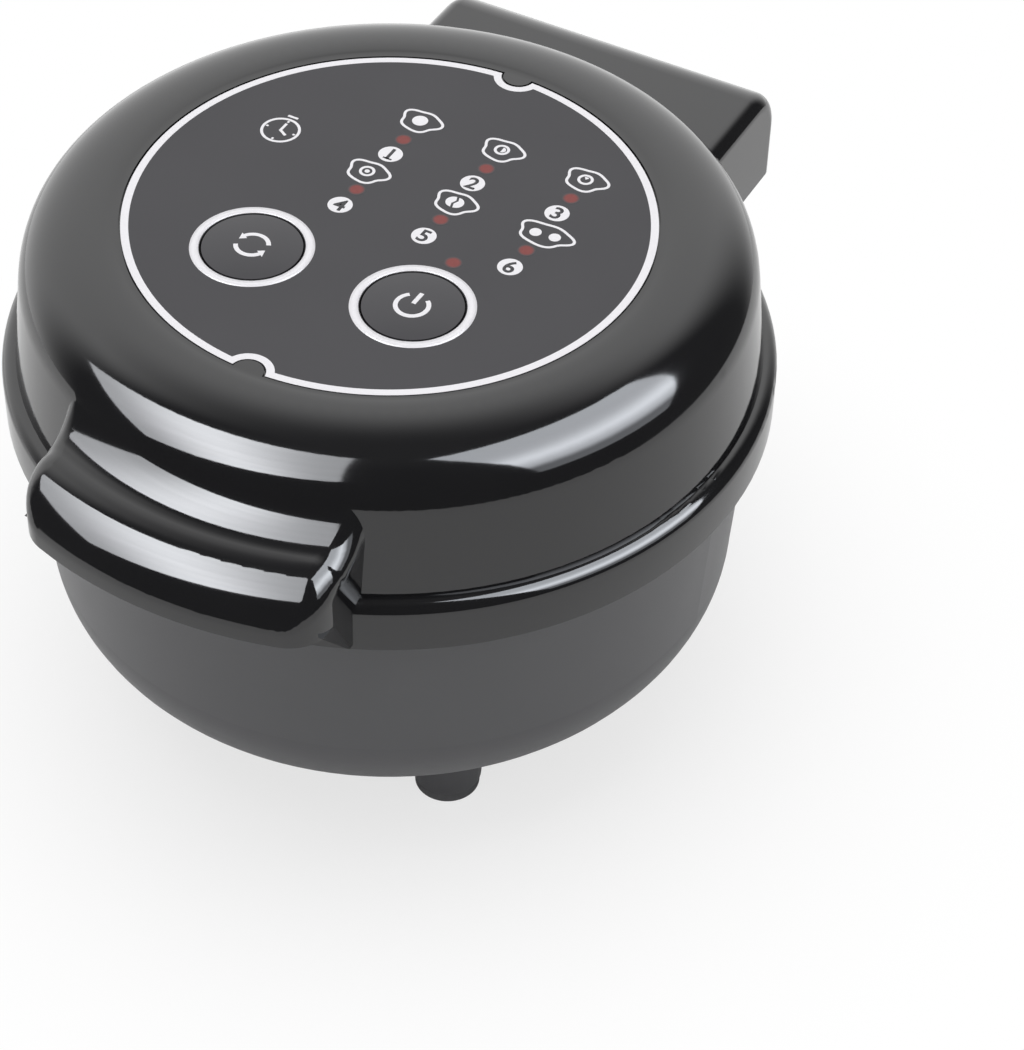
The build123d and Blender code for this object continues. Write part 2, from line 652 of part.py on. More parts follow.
def base_wiring():
    """Wires from the power board to the element, and the loom that runs up towards the hinge."""
    top = POWER_BOARD_BOTTOM + BOARD_THICKNESS
    ends = heater_ends(LOWER_ELEMENT)
    wires = []
    for start, end in zip(((-13, 12.5), (17.5, 6)), ends):
        wires.append(wire(1.0, [(*start, top), (*start, 38.5), (*end, 38.5), (*end, 42.2)]))
    rise = [(-20, 13.5, top), (-20, 13.5, top + 6), (-6, 52, 40), (0, 57.2, 52), (0, 57.2, 61.5)]
    wires.append(wire(1.3, rise + [(0, 66.8, 65), (0, 66.8, 72)]))
    for side in (-1, 1):
        x = 8 + side * 3
        clamp = [(x, 19, top + 4), (x, 24, top + 4)]
        entry = [(side * 1.5, 50, GLAND_HEIGHT), (side * 1.5, GLAND_INNER_END - 0.5, GLAND_HEIGHT)]
        wires.append(wire(0.9, clamp + entry))
    return Compound(children=wires)


def hinge_pins():
    """Two steel pins with round heads, pressed into the outer knuckles from each side."""
    pins = []
    for side in (-1, 1):
        shank = sorted((side * 1.5, side * KNUCKLE[1]))
        head = sorted((side * KNUCKLE[1], side * (KNUCKLE[1] + PIN_HEAD)))
        pin = rod_x(PIN_RADIUS, shank[0], shank[1], HINGE_Y, HINGE_Z)
        pins.append(pin + rod_x(2.9, head[0], head[1], HINGE_Y, HINGE_Z))
    return Compound(children=pins)


def upper_heat_shield():
    """Thin steel disc between the upper element and the control board."""
    shield = rod(53, 88.0, 88.6) + ring(52.4, 53, 85.4, 88.0)
    for x, y in spots(30, (90, 210, 330)):
        shield -= rod(1.6, 87, 90, x, y)
    for x, y in heater_ends(UPPER_ELEMENT):
        shield -= rod(3.0, 87, 90, x, y)
    return shield


def shield_screws():
    """Screws that hold the upper heat shield to the upper plate's bosses."""
    screws = []
    for x, y in spots(30, (90, 210, 330)):
        screws.append(rod(2.6, 88.6, 90.2, x, y) + rod(1.2, 83.5, 88.7, x, y))
    return Compound(children=screws)


def lid_screws():
    """Screws from the inner cover up into the lid shell's bosses."""
    screws = []
    for x, y in spots(LID_SCREW_CIRCLE, LID_SCREW_ANGLES):
        head = rod(1.9, COVER_BOTTOM + 0.1, COVER_BOTTOM + 1.4, x, y)
        screws.append(head + rod(1.1, COVER_BOTTOM + 1.3, COVER_TOP + 7, x, y))
    return Compound(children=screws)


def control_board():
    """Round control board under the panel."""
    board = rod(LID_BOARD_RADIUS, LID_BOARD_BOTTOM, LID_BOARD_BOTTOM + BOARD_THICKNESS)
    for x, y in square(LID_BOARD_POST, LID_BOARD_POST):
        board -= rod(1.2, LID_BOARD_BOTTOM - 1, LID_BOARD_BOTTOM + 3, x, y)
    return board


def tact_switch(x):
    """Low tactile switch under a button."""
    low = LID_BOARD_BOTTOM + BOARD_THICKNESS
    body = block((x - 3, x + 3), (BUTTON_Y - 3, BUTTON_Y + 3), (low, low + 2.2))
    return body + rod(1.7, low + 2.2, LID_ROOF - 1.5 - BUTTON_TRAVEL - 0.3, x, BUTTON_Y)


def status_leds():
    """Seven lamps that reach up into the lid's light holes."""
    low = LID_BOARD_BOTTOM + BOARD_THICKNESS
    lamps = []
    for x, y in led_places():
        dome = PANEL_FLOOR - 1.8
        lamp = rod(LED_RADIUS, low + 0.9, dome, x, y) + Pos(x, y, dome) * Sphere(LED_RADIUS)
        lamps.append(lamp + rod(1.8, low, low + 1.0, x, y))
    return Compound(children=lamps)


def lid_wiring():
    """Loom from the neck to the control board, and the two wires of the upper element."""
    top = LID_BOARD_BOTTOM + BOARD_THICKNESS
    rise = [(0, 66.8, 75.5), (0, 66.8, 80), (0, 59, 82), (0, 57, 89)]
    wires = [wire(1.3, rise + [(0, 50, top + 2.6), (0, 40, top + 2.6)])]
    for side, end in zip((-1, 1), heater_ends(UPPER_ELEMENT)):
        rise = [(side * 3.4, 66.8, 75.5), (side * 3.4, 66.8, 79), (end[0], 59, 82.5), (end[0], 56.5, 90.1)]
        wires.append(wire(0.8, rise + [(end[0], end[1] + 0.9, 90.1)]))
    return Compound(children=wires)


def main():
    """Build every piece and write one file for each."""
    board_top = LID_BOARD_BOTTOM + BOARD_THICKNESS
    power_top = POWER_BOARD_BOTTOM + BOARD_THICKNESS
    posts = square(*POWER_BOARD_POST)
    lid_posts = square(LID_BOARD_POST, LID_BOARD_POST)
    pieces = {
        "base_housing": base_housing(),
        "base_ring": base_ring(),
        "lower_pan": lower_pan(),
        "lower_heating_element": heater(LOWER_ELEMENT, PAN_FLOOR - PAN_WALL - 3.25, -5.5),
        "lower_heat_shield": lower_heat_shield(),
        "lower_thermostat": lower_thermostat(),
        "thermal_fuse": thermal_fuse(),
        "power_board": power_board(),
        "power_relay": block((-20, -1), (-8, 8), (power_top, power_top + 15)),
        "filter_capacitor": block((-17.5, -2), (-19.5, -11.5), (power_top, power_top + 13)),
        "transformer": transformer(),
        "terminal_block": terminal_block(),
        "power_board_screws": board_screws(posts, power_top, True),
        "base_wiring": base_wiring(),
        "cord_gland": cord_gland(),
        "tie_screws": tie_screws(),
        "foot_pads": foot_pads(),
        "hinge_pins": hinge_pins(),
        "lid_shell": lid_shell(),
        "lid_inner_cover": lid_inner_cover(),
        "upper_plate": upper_plate(),
        "upper_heating_element": heater(UPPER_ELEMENT, PLATE_FLOOR + PLATE_WALL + 2.65, 4.5),
        "upper_heat_shield": upper_heat_shield(),
        "upper_thermostat": rod(7.0, PLATE_FLOOR + PLATE_WALL, PLATE_FLOOR + PLATE_WALL + 4),
        "control_board": control_board(),
        "control_board_screws": board_screws(lid_posts, LID_BOARD_BOTTOM, False),
        "microcontroller": block((-29, -19), (2, 9.5), (board_top, board_top + 1.8)),
        "buzzer": rod(4.5, board_top, board_top + 4.2, -25, 18),
        "loom_connector": block((-5, 5), (34.5, 40), (board_top, board_top + 5)),
        "select_switch": tact_switch(SELECT_X),
        "start_switch": tact_switch(START_X),
        "status_leds": status_leds(),
        "lid_screws": lid_screws(),
        "shield_screws": shield_screws(),
        "lid_wiring": lid_wiring(),
        "control_panel": control_panel(),
        "select_button": button(SELECT_X),
        "start_button": button(START_X),
    }
    os.makedirs("parts", exist_ok=True)
    for name, shape in pieces.items():
        export_step(shape, f"parts/{name}.step")


main()
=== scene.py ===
"""Looks of the round electric egg cooker: finishes, panel print, lid screws, studio and camera."""

import logging
import math
from collections import defaultdict
from collections.abc import Callable, Iterable, Mapping, Sequence
from dataclasses import dataclass
from enum import Enum

import bmesh
import bpy
from mathutils import Matrix, Vector
from mathutils.bvhtree import BVHTree


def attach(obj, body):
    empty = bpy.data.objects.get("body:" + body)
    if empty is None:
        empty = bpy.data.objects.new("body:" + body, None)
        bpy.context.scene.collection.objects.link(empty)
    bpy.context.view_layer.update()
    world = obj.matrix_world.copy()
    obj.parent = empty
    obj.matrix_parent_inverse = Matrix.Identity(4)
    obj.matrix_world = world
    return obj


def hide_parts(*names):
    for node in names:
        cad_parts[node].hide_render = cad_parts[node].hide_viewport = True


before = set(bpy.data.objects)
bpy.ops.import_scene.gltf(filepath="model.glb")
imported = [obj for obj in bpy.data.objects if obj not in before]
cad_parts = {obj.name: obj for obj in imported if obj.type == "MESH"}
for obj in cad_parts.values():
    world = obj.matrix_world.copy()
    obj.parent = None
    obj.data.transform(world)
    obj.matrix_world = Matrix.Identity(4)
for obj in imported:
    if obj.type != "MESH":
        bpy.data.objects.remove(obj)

MM = 0.001
PICTURE_WIDTH = 1024
PICTURE_HEIGHT = 1050

# millimetres: height of the panel's face, thickness of ink, how deep ink reaches into what it lies on
PANEL_TOP = 101.2
INK = 0.03
SINK = 0.01

# attribute of a round spot that runs from 0 in its middle to 1 at its edge
REACH = "reach"

BLACK = (0.0, 0.0, 0.0)
WHITE = (1.0, 1.0, 1.0)

Point = tuple[float, float]
Place = tuple[float, float, float]
Colour = tuple[float, float, float]
Cloud = tuple[float, float, float]  # a noise: size in metres, detail, strength of its finer layers
Settings = Mapping[str, object] | None
Inputs = Mapping[str | int, object] | None
Sockets = dict[str, "Signal | float"]

log = logging.getLogger("egg_cooker")


class Body(Enum):
    """The bodies that move and carry new pieces."""

    LID = "lid"
    SELECT = "select_button"
    START = "start_button"


class Yolk(Enum):
    """What the yolk of a program symbol looks like."""

    WHOLE = "whole"
    HALF = "half"
    FIFTH = "fifth"
    SET = "set"
    BROKEN = "broken"
    PAIR = "pair"


# node graphs


def arithmetic(operation: str) -> tuple[Callable[..., "Signal"], Callable[..., "Signal"]]:
    """Make one operator of Signal.

    Args:
        operation: the operation of the Math node that it adds.

    Returns:
        The operator and its reflected form.
    """

    def plain(self: "Signal", other: "Signal | float") -> "Signal":
        """This signal on the left."""
        return self.graph.maths(operation, self, other)

    def reflected(self: "Signal", other: float) -> "Signal":
        """This signal on the right."""
        return self.graph.maths(operation, other, self)

    return plain, reflected


@dataclass
class Signal:
    """One output socket of a node graph, with arithmetic that adds Math nodes."""

    graph: "Graph"
    socket: bpy.types.NodeSocket

    __add__, __radd__ = arithmetic("ADD")
    __sub__, __rsub__ = arithmetic("SUBTRACT")
    __mul__, __rmul__ = arithmetic("MULTIPLY")
    __truediv__, __rtruediv__ = arithmetic("DIVIDE")

    def power(self, exponent: float) -> "Signal":
        """This raised to a power."""
        return self.graph.maths("POWER", self, exponent)

    def ease(self, low: float, high: float) -> "Signal":
        """Smooth step from 0 at low to 1 at high."""
        inputs = {"Value": self, "From Min": low, "From Max": high}
        return self.graph.out("ShaderNodeMapRange", {"interpolation_type": "SMOOTHSTEP"}, inputs)


@dataclass
class Graph:
    """A node tree of any kind, filled through one factory method."""

    tree: bpy.types.NodeTree

    def __post_init__(self) -> None:
        """Start from nothing."""
        self.tree.nodes.clear()

    def node(self, kind: str, settings: Settings = None, inputs: Inputs = None) -> bpy.types.Node:
        """Add a node.

        Args:
            kind: the node's type.
            settings: attributes of the node, set before its sockets.
            inputs: a value, a Signal or a list of Signals for each named or numbered socket.

        Returns:
            The new node.
        """
        made = self.tree.nodes.new(kind)
        for name, value in (settings or {}).items():
            setattr(made, name, value)
        for name, value in (inputs or {}).items():
            socket = made.inputs[name]
            if isinstance(value, (Signal, list)):
                for signal in value if isinstance(value, list) else [value]:
                    self.tree.links.new(signal.socket, socket)
            else:
                socket.default_value = (*value, 1.0) if socket.type == "RGBA" else value
        return made

    def out(
        self, kind: str, settings: Settings = None, inputs: Inputs = None, output: str | int = 0
    ) -> Signal:
        """Add a node and hand back one of its outputs, by name or number."""
        return Signal(self, self.node(kind, settings, inputs).outputs[output])

    def maths(self, operation: str, *values: Signal | float) -> Signal:
        """Add a Math node for the values in their order."""
        return self.out("ShaderNodeMath", {"operation": operation}, dict(enumerate(values)))

    def vector_maths(self, operation: str, output: str, *values: Signal | Place) -> Signal:
        """Add a Vector Math node and hand back its output of the given name."""
        return self.out("ShaderNodeVectorMath", {"operation": operation}, dict(enumerate(values)), output)

    def place(self, turn: Place = (0.0, 0.0, 0.0), stretch: Place = (1.0, 1.0, 1.0)) -> Signal:
        """Object coordinates for a pattern.

        Args:
            turn: its rotation in radians.
            stretch: its scale along each axis.

        Returns:
            The coordinates.
        """
        raw, scale = self.out("ShaderNodeTexCoord", output="Object"), tuple(1 / part for part in stretch)
        inputs = {"Vector": raw, "Rotation": turn, "Scale": scale}
        return self.out("ShaderNodeMapping", {"vector_type": "TEXTURE"}, inputs)

    def noise(self, where: Signal, size: float, detail: float = 2.0, strength: float = 0.5) -> Signal:
        """Noise from 0 to 1 with clouds of a size in metres and the detail and strength of its finer layers."""
        inputs = {"Vector": where, "Scale": 1 / size, "Detail": detail, "Roughness": strength}
        return self.out("ShaderNodeTexNoise", {"noise_dimensions": "3D"}, inputs)

    def cells(self, where: Signal, size: float, feature: str = "F1") -> Signal:
        """Distance field of cells of a size in metres."""
        inputs = {"Vector": where, "Scale": 1 / size}
        return self.out("ShaderNodeTexVoronoi", {"feature": feature}, inputs, "Distance")

    def blend(self, share: Signal, first: Colour | Signal, second: Colour | Signal) -> Signal:
        """Mix two colours, all of the first where the share is 0; the node's colour sockets go by number."""
        return self.out("ShaderNodeMix", {"data_type": "RGBA"}, {0: share, 6: first, 7: second}, 2)

    def bump(self, height: Signal, depth: float) -> Signal:
        """Normal from a height signal whose full range is depth metres."""
        return self.out("ShaderNodeBump", None, {"Height": height, "Distance": depth, "Strength": 1.0})


def shade(colour: Colour, factor: float) -> Colour:
    """The same colour, lighter or darker by a factor."""
    return tuple(min(1.0, part * factor) for part in colour)


# finishes


@dataclass(frozen=True)
class Finish:
    """A finish of one material; the kinds below say how it varies over a surface."""

    name: str
    colour: Colour
    roughness: float

    def material(self) -> bpy.types.Material:
        """Make the Blender material, or find it if it is made.

        Returns:
            The material.
        """
        known = bpy.data.materials.get(self.name)
        if known:
            return known
        made = bpy.data.materials.new(self.name)
        made.diffuse_color = (*self.colour, 1.0)
        made.use_nodes = True
        graph = Graph(made.node_tree)
        shader = graph.out("ShaderNodeBsdfPrincipled", None, self.paint(graph))
        graph.node("ShaderNodeOutputMaterial", None, {"Surface": shader})
        return made

    def paint(self, graph: Graph) -> Sockets:
        """Signals and values for the Principled shader's sockets; each kind of finish has its own."""
        raise NotImplementedError

    def between(self, graph: Graph, share: Signal, dark: float, light: float) -> Signal:
        """The finish's colour by a dark factor where the share is 0 and a light one where it is 1."""
        return graph.blend(share, shade(self.colour, dark), shade(self.colour, light))


@dataclass(frozen=True)
class Grained(Finish):
    """A surface whose tone drifts slowly over a fine grain."""

    drift: Cloud
    grain: Cloud
    tones: Point  # factors on the colour where the drift is 0 and 1
    uneven: Point  # how far the drift and the grain move the roughness
    depth: float  # height of the grain in metres
    patches: Point | None = None  # drift at which the second tone begins and is full
    ior: float = 1.5

    def paint(self, graph: Graph) -> Sockets:
        """Let the drift change the tone, and both change the roughness about its mean.

        Args:
            graph: the material's graph.

        Returns:
            What goes into the shader's sockets.
        """
        where = graph.place()
        drift, grain = graph.noise(where, *self.drift), graph.noise(where, *self.grain)
        share = drift.ease(*self.patches) if self.patches else drift
        moves = [signal * reach for signal, reach in zip((drift, grain), self.uneven) if reach]
        return {
            "Base Color": self.between(graph, share, *self.tones),
            "Roughness": sum(moves, self.roughness - sum(self.uneven) / 2),
            "Normal": graph.bump(grain, self.depth),
            "IOR": self.ior,
        }


@dataclass(frozen=True)
class GlossPlastic(Grained):
    """Polished plastic with a trace of haze, a faint flow in its surface and a few specks of dust."""

    drift: Cloud = (0.018, 3.0, 0.6)
    grain: Cloud = (0.011, 1.0, 0.5)
    tones: Point = (0.85, 1.2)
    uneven: Point = (0.035, 0.0)
    depth: float = 0.000006
    ior: float = 1.6
    dust: float = 0.0011
    dust_edge: Point = (0.10, 0.02)
    dust_field: float = 0.006
    dust_patches: Point = (0.60, 0.72)
    dull: float = 0.10

    def paint(self, graph: Graph) -> Sockets:
        """Dull the gloss where dust lies.

        Args:
            graph: the material's graph.

        Returns:
            What goes into the shader's sockets.
        """
        sockets = super().paint(graph)
        where = graph.place()
        specks = graph.cells(where, self.dust).ease(*self.dust_edge)
        dusty = graph.noise(where, self.dust_field).ease(*self.dust_patches)
        return sockets | {"Roughness": sockets["Roughness"] + specks * dusty * self.dull}


@dataclass(frozen=True)
class SatinPlastic(Grained):
    """Moulded plastic with a fine spark-eroded grain."""

    drift: Cloud = (0.022, 3.0, 0.5)
    grain: Cloud = (0.00032, 2.0, 0.6)
    tones: Point = (0.88, 1.12)
    uneven: Point = (0.08, 0.06)
    depth: float = 0.000010


@dataclass(frozen=True)
class Overlay(Grained):
    """Film with a slow drift in tone and a fine velvet texture."""

    drift: Cloud = (0.03, 2.0, 0.5)
    grain: Cloud = (0.00022, 2.0, 0.7)
    tones: Point = (0.93, 1.08)
    uneven: Point = (0.0, 0.05)
    depth: float = 0.0000025


@dataclass(frozen=True)
class Ink(Grained):
    """Screen-printed ink: nearly even cover with tiny pinholes of tone."""

    drift: Cloud = (0.0004, 2.0, 0.5)
    grain: Cloud = (0.0004, 2.0, 0.5)
    tones: Point = (0.94, 1.03)
    uneven: Point = (0.0, 0.1)
    depth: float = 0.000003


@dataclass(frozen=True)
class Rubber(Grained):
    """Matt rubber with a dull grain and a little bloom in patches."""

    drift: Cloud = (0.004, 4.0, 0.65)
    grain: Cloud = (0.00025, 2.0, 0.5)
    tones: Point = (1.0, 1.6)
    uneven: Point = (0.12, 0.0)
    depth: float = 0.000018
    patches: Point | None = (0.3, 0.8)


@dataclass(frozen=True)
class Speckled(Finish):
    """Dark surface with lighter specks in two sizes, the fine ones a little raised."""

    light: Colour
    speck: float = 0.00045
    cloud: float = 0.016
    rarer: float = 2.6  # size of a rare speck's cell in fine ones
    fine_edge: Point = (0.42, 0.10)
    rare_edge: Point = (0.20, 0.09)
    shown: Point = (0.35, 0.75)  # grain at which fine specks begin and are full
    cover: Point = (0.55, 0.5)  # strength of the fine and the rare specks
    depth: float = 0.000014

    def paint(self, graph: Graph) -> Sockets:
        """Lay fine specks over the ground, and rare brighter ones over both.

        Args:
            graph: the material's graph.

        Returns:
            What goes into the shader's sockets.
        """
        where = graph.place()
        grain = graph.noise(where, self.speck * 0.7, 1.0)
        fine = graph.cells(where, self.speck).ease(*self.fine_edge)
        rare = graph.cells(where, self.speck * self.rarer).ease(*self.rare_edge)
        ground = self.between(graph, graph.noise(where, self.cloud), 0.85, 1.15)
        dotted = graph.blend(fine * grain.ease(*self.shown) * self.cover[0], ground, self.light)
        return {
            "Base Color": graph.blend(rare * self.cover[1], dotted, shade(self.light, 1.5)),
            "Roughness": grain * 0.16 + (self.roughness - 0.08),
            "Normal": graph.bump(grain + fine * 0.6, self.depth),
        }


@dataclass(frozen=True)
class LampWindow(Finish):
    """Coloured spot whose edge fades into the tone of the film around it."""

    rim: Colour = (0.081, 0.080, 0.085)
    fade: Point = (0.55, 1.0)
    ragged: float = 0.12
    ior: float = 1.2

    def paint(self, graph: Graph) -> Sockets:
        """Colour in the middle and the film's own tone at the edge.

        Args:
            graph: the material's graph.

        Returns:
            What goes into the shader's sockets.
        """
        reach = graph.out("ShaderNodeAttribute", {"attribute_name": REACH}, None, "Fac")
        grain = graph.noise(graph.place(), 0.0005, 1.0)
        edge = (reach + grain * self.ragged - self.ragged / 2).ease(*self.fade)
        return {
            "Base Color": graph.blend(edge, self.between(graph, grain, 0.9, 1.1), self.rim),
            "Roughness": grain * 0.08 + self.roughness,
            "IOR": self.ior,
        }


@dataclass(frozen=True)
class Metal(Finish):
    """Bare or plated metal with drawing lines, clouds of tarnish or spangle."""

    stretch: Place = (1.0, 1.0, 1.0)
    grain: float = 0.0006
    tint: Colour = (0.45, 0.40, 0.34)
    tarnish: float = 0.3
    patch: Cloud = (0.007, 3.0, 0.5)
    depth: float = 0.000005

    def paint(self, graph: Graph) -> Sockets:
        """Lines along the stretched axis, with a warm tarnish in patches.

        Args:
            graph: the material's graph.

        Returns:
            What goes into the shader's sockets.
        """
        lines = graph.noise(graph.place(stretch=self.stretch), self.grain, 2.0, 0.6)
        patch = graph.noise(graph.place(), *self.patch).ease(0.45, 0.75)
        bright = self.between(graph, lines, 0.86, 1.08)
        return {
            "Base Color": graph.blend(patch * self.tarnish, bright, self.tint),
            "Roughness": lines * 0.14 + patch * 0.08 + (self.roughness - 0.08),
            "Normal": graph.bump(lines, self.depth),
            "Metallic": 1.0,
        }


@dataclass(frozen=True)
class Laminate(Finish):
    """Board laminate with copper tracks under its lacquer."""

    track: Colour = (0.10, 0.34, 0.17)
    cell: float = 0.0042
    turn: float = 0.6
    depth: float = 0.00003

    def paint(self, graph: Graph) -> Sockets:
        """Let the tracks follow the edges of cells.

        Args:
            graph: the material's graph.

        Returns:
            What goes into the shader's sockets.
        """
        where = graph.place(turn=(0.0, 0.0, self.turn))
        tracks = graph.cells(where, self.cell, "DISTANCE_TO_EDGE").ease(0.14, 0.10)
        weave = graph.noise(where, 0.0005)
        return {
            "Base Color": graph.blend(tracks * 0.8, self.between(graph, weave, 0.85, 1.15), self.track),
            "Roughness": weave * 0.1 + self.roughness,
            "Normal": graph.bump(tracks, self.depth),
        }


# the finishes of this cooker
LID_GLOSS = GlossPlastic("lid_gloss_black", (0.009, 0.009, 0.010), 0.0725)
HOUSING_SATIN = SatinPlastic("housing_satin_black", (0.062, 0.062, 0.066), 0.36)
RING_SPECKLED = Speckled("ring_speckled_black", (0.030, 0.030, 0.031), 0.40, (0.19, 0.19, 0.19))
PAN_COATING = Speckled("pan_coating", (0.032, 0.032, 0.032), 0.30, (0.42, 0.41, 0.40), speck=0.00060)
PANEL_FILM = Overlay("panel_film", (0.081, 0.080, 0.085), 0.30, ior=1.12)
CAP_FILM = Overlay("cap_film", (0.044, 0.043, 0.048), 0.20, ior=1.40)
WHITE_INK = Ink("white_ink", (0.82, 0.81, 0.84), 0.35)
RED_WINDOW = LampWindow("red_window", (0.235, 0.070, 0.066), 0.30)
PAD_RUBBER = Rubber("pad_rubber", (0.045, 0.044, 0.046), 0.70)
ELEMENT_STEEL = Metal("element_steel", (0.52, 0.50, 0.47), 0.34, stretch=(1, 1, 4), grain=0.0010)
SHIELD_STEEL = Metal("shield_steel", (0.60, 0.60, 0.60), 0.38, grain=0.0035, tarnish=0.15)
SCREW_STEEL = Metal("screw_steel", (0.66, 0.66, 0.67), 0.24, stretch=(1, 1, 6), grain=0.0005, tarnish=0.2)
BOARD_GREEN = Laminate("board_green", (0.030, 0.16, 0.07), 0.34)
COMPONENT_BLACK = SatinPlastic("component_black", (0.035, 0.035, 0.035), 0.45)
COMPONENT_YELLOW = SatinPlastic("component_yellow", (0.62, 0.42, 0.07), 0.40)
COMPONENT_WHITE = SatinPlastic("component_white", (0.72, 0.71, 0.66), 0.42)
WIRE_SLEEVE = Rubber("wire_sleeve", (0.48, 0.45, 0.40), 0.55)
LAMP_LENS = GlossPlastic("lamp_lens", (0.42, 0.025, 0.022), 0.1375, ior=1.5)

Dressing = tuple[tuple[Finish, tuple[str, ...]], ...]  # which nodes get which finish


# pieces


def place_object(name: str, data: bpy.types.ID) -> bpy.types.Object:
    """Put a mesh, curve, lamp or camera into the scene.

    Args:
        name: the object's name.
        data: what it holds.

    Returns:
        The object.
    """
    made = bpy.data.objects.new(name, data)
    bpy.context.scene.collection.objects.link(made)
    return made


def plain_mesh(holder: bpy.types.Object) -> bpy.types.Mesh:
    """What an object shows once its modifiers have run, as a mesh of its own."""
    bpy.context.view_layer.update()
    return bpy.data.meshes.new_from_object(holder.evaluated_get(bpy.context.evaluated_depsgraph_get()))


def settle(
    name: str, mesh: bpy.types.Mesh, body: Body, slot: str,
    finish: Finish | None = None, stands_for: Sequence[str] = (),
) -> None:
    """Turn a finished mesh into a piece of the object.

    Args:
        name: the piece's name.
        mesh: its mesh, in metres and in place.
        body: the body that it rides on.
        slot: the record's material slot; not used.
        finish: its finish, or None where the mesh has its material already.
        stands_for: CAD nodes that it replaces.
    """
    mesh.name = name
    if finish:
        mesh.materials.clear()
        mesh.materials.append(finish.material())
    piece = place_object(name, mesh)
    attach(piece, body.value)
    if stands_for:
        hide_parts(*stands_for)
    log.info("made %s on %s: %d faces", name, body.value, len(mesh.polygons))


class Surface:
    """The upper side of a CAD node, to lay prints on."""

    PROBE = 0.01  # metres above the node from which it is probed

    def __init__(self, node: str) -> None:
        """Index the node's mesh for vertical probes.

        Args:
            node: its name.
        """
        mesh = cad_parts[node].data
        mesh.calc_loop_triangles()
        corners = [v.co.copy() for v in mesh.vertices]
        self.tree = BVHTree.FromPolygons(corners, [tuple(t.vertices) for t in mesh.loop_triangles])
        self.top = max(c.z for c in corners)

    def height(self, x: float, y: float) -> float:
        """Height in metres of the surface above the point, or its top where there is none."""
        hit, _, _, _ = self.tree.ray_cast(Vector((x, y, self.top + self.PROBE)), Vector((0, 0, -1)))
        return hit.z if hit else self.top


def arc(centre: Point, radius: float, start: float, end: float, count: int) -> list[Point]:
    """Points on an arc, from a start to an end angle in degrees, both included."""
    angles = (math.radians(start + (end - start) * i / (count - 1)) for i in range(count))
    return [(centre[0] + radius * math.cos(a), centre[1] + radius * math.sin(a)) for a in angles]


def loop(centre: Point, radius: float, count: int) -> list[Point]:
    """Points of a closed circle, without a double at its end."""
    return arc(centre, radius, 0.0, 360.0 * (count - 1) / count, count)


def shifted(points: Iterable[Point], by: Point) -> list[Point]:
    """The points, moved."""
    return [(x + by[0], y + by[1]) for x, y in points]


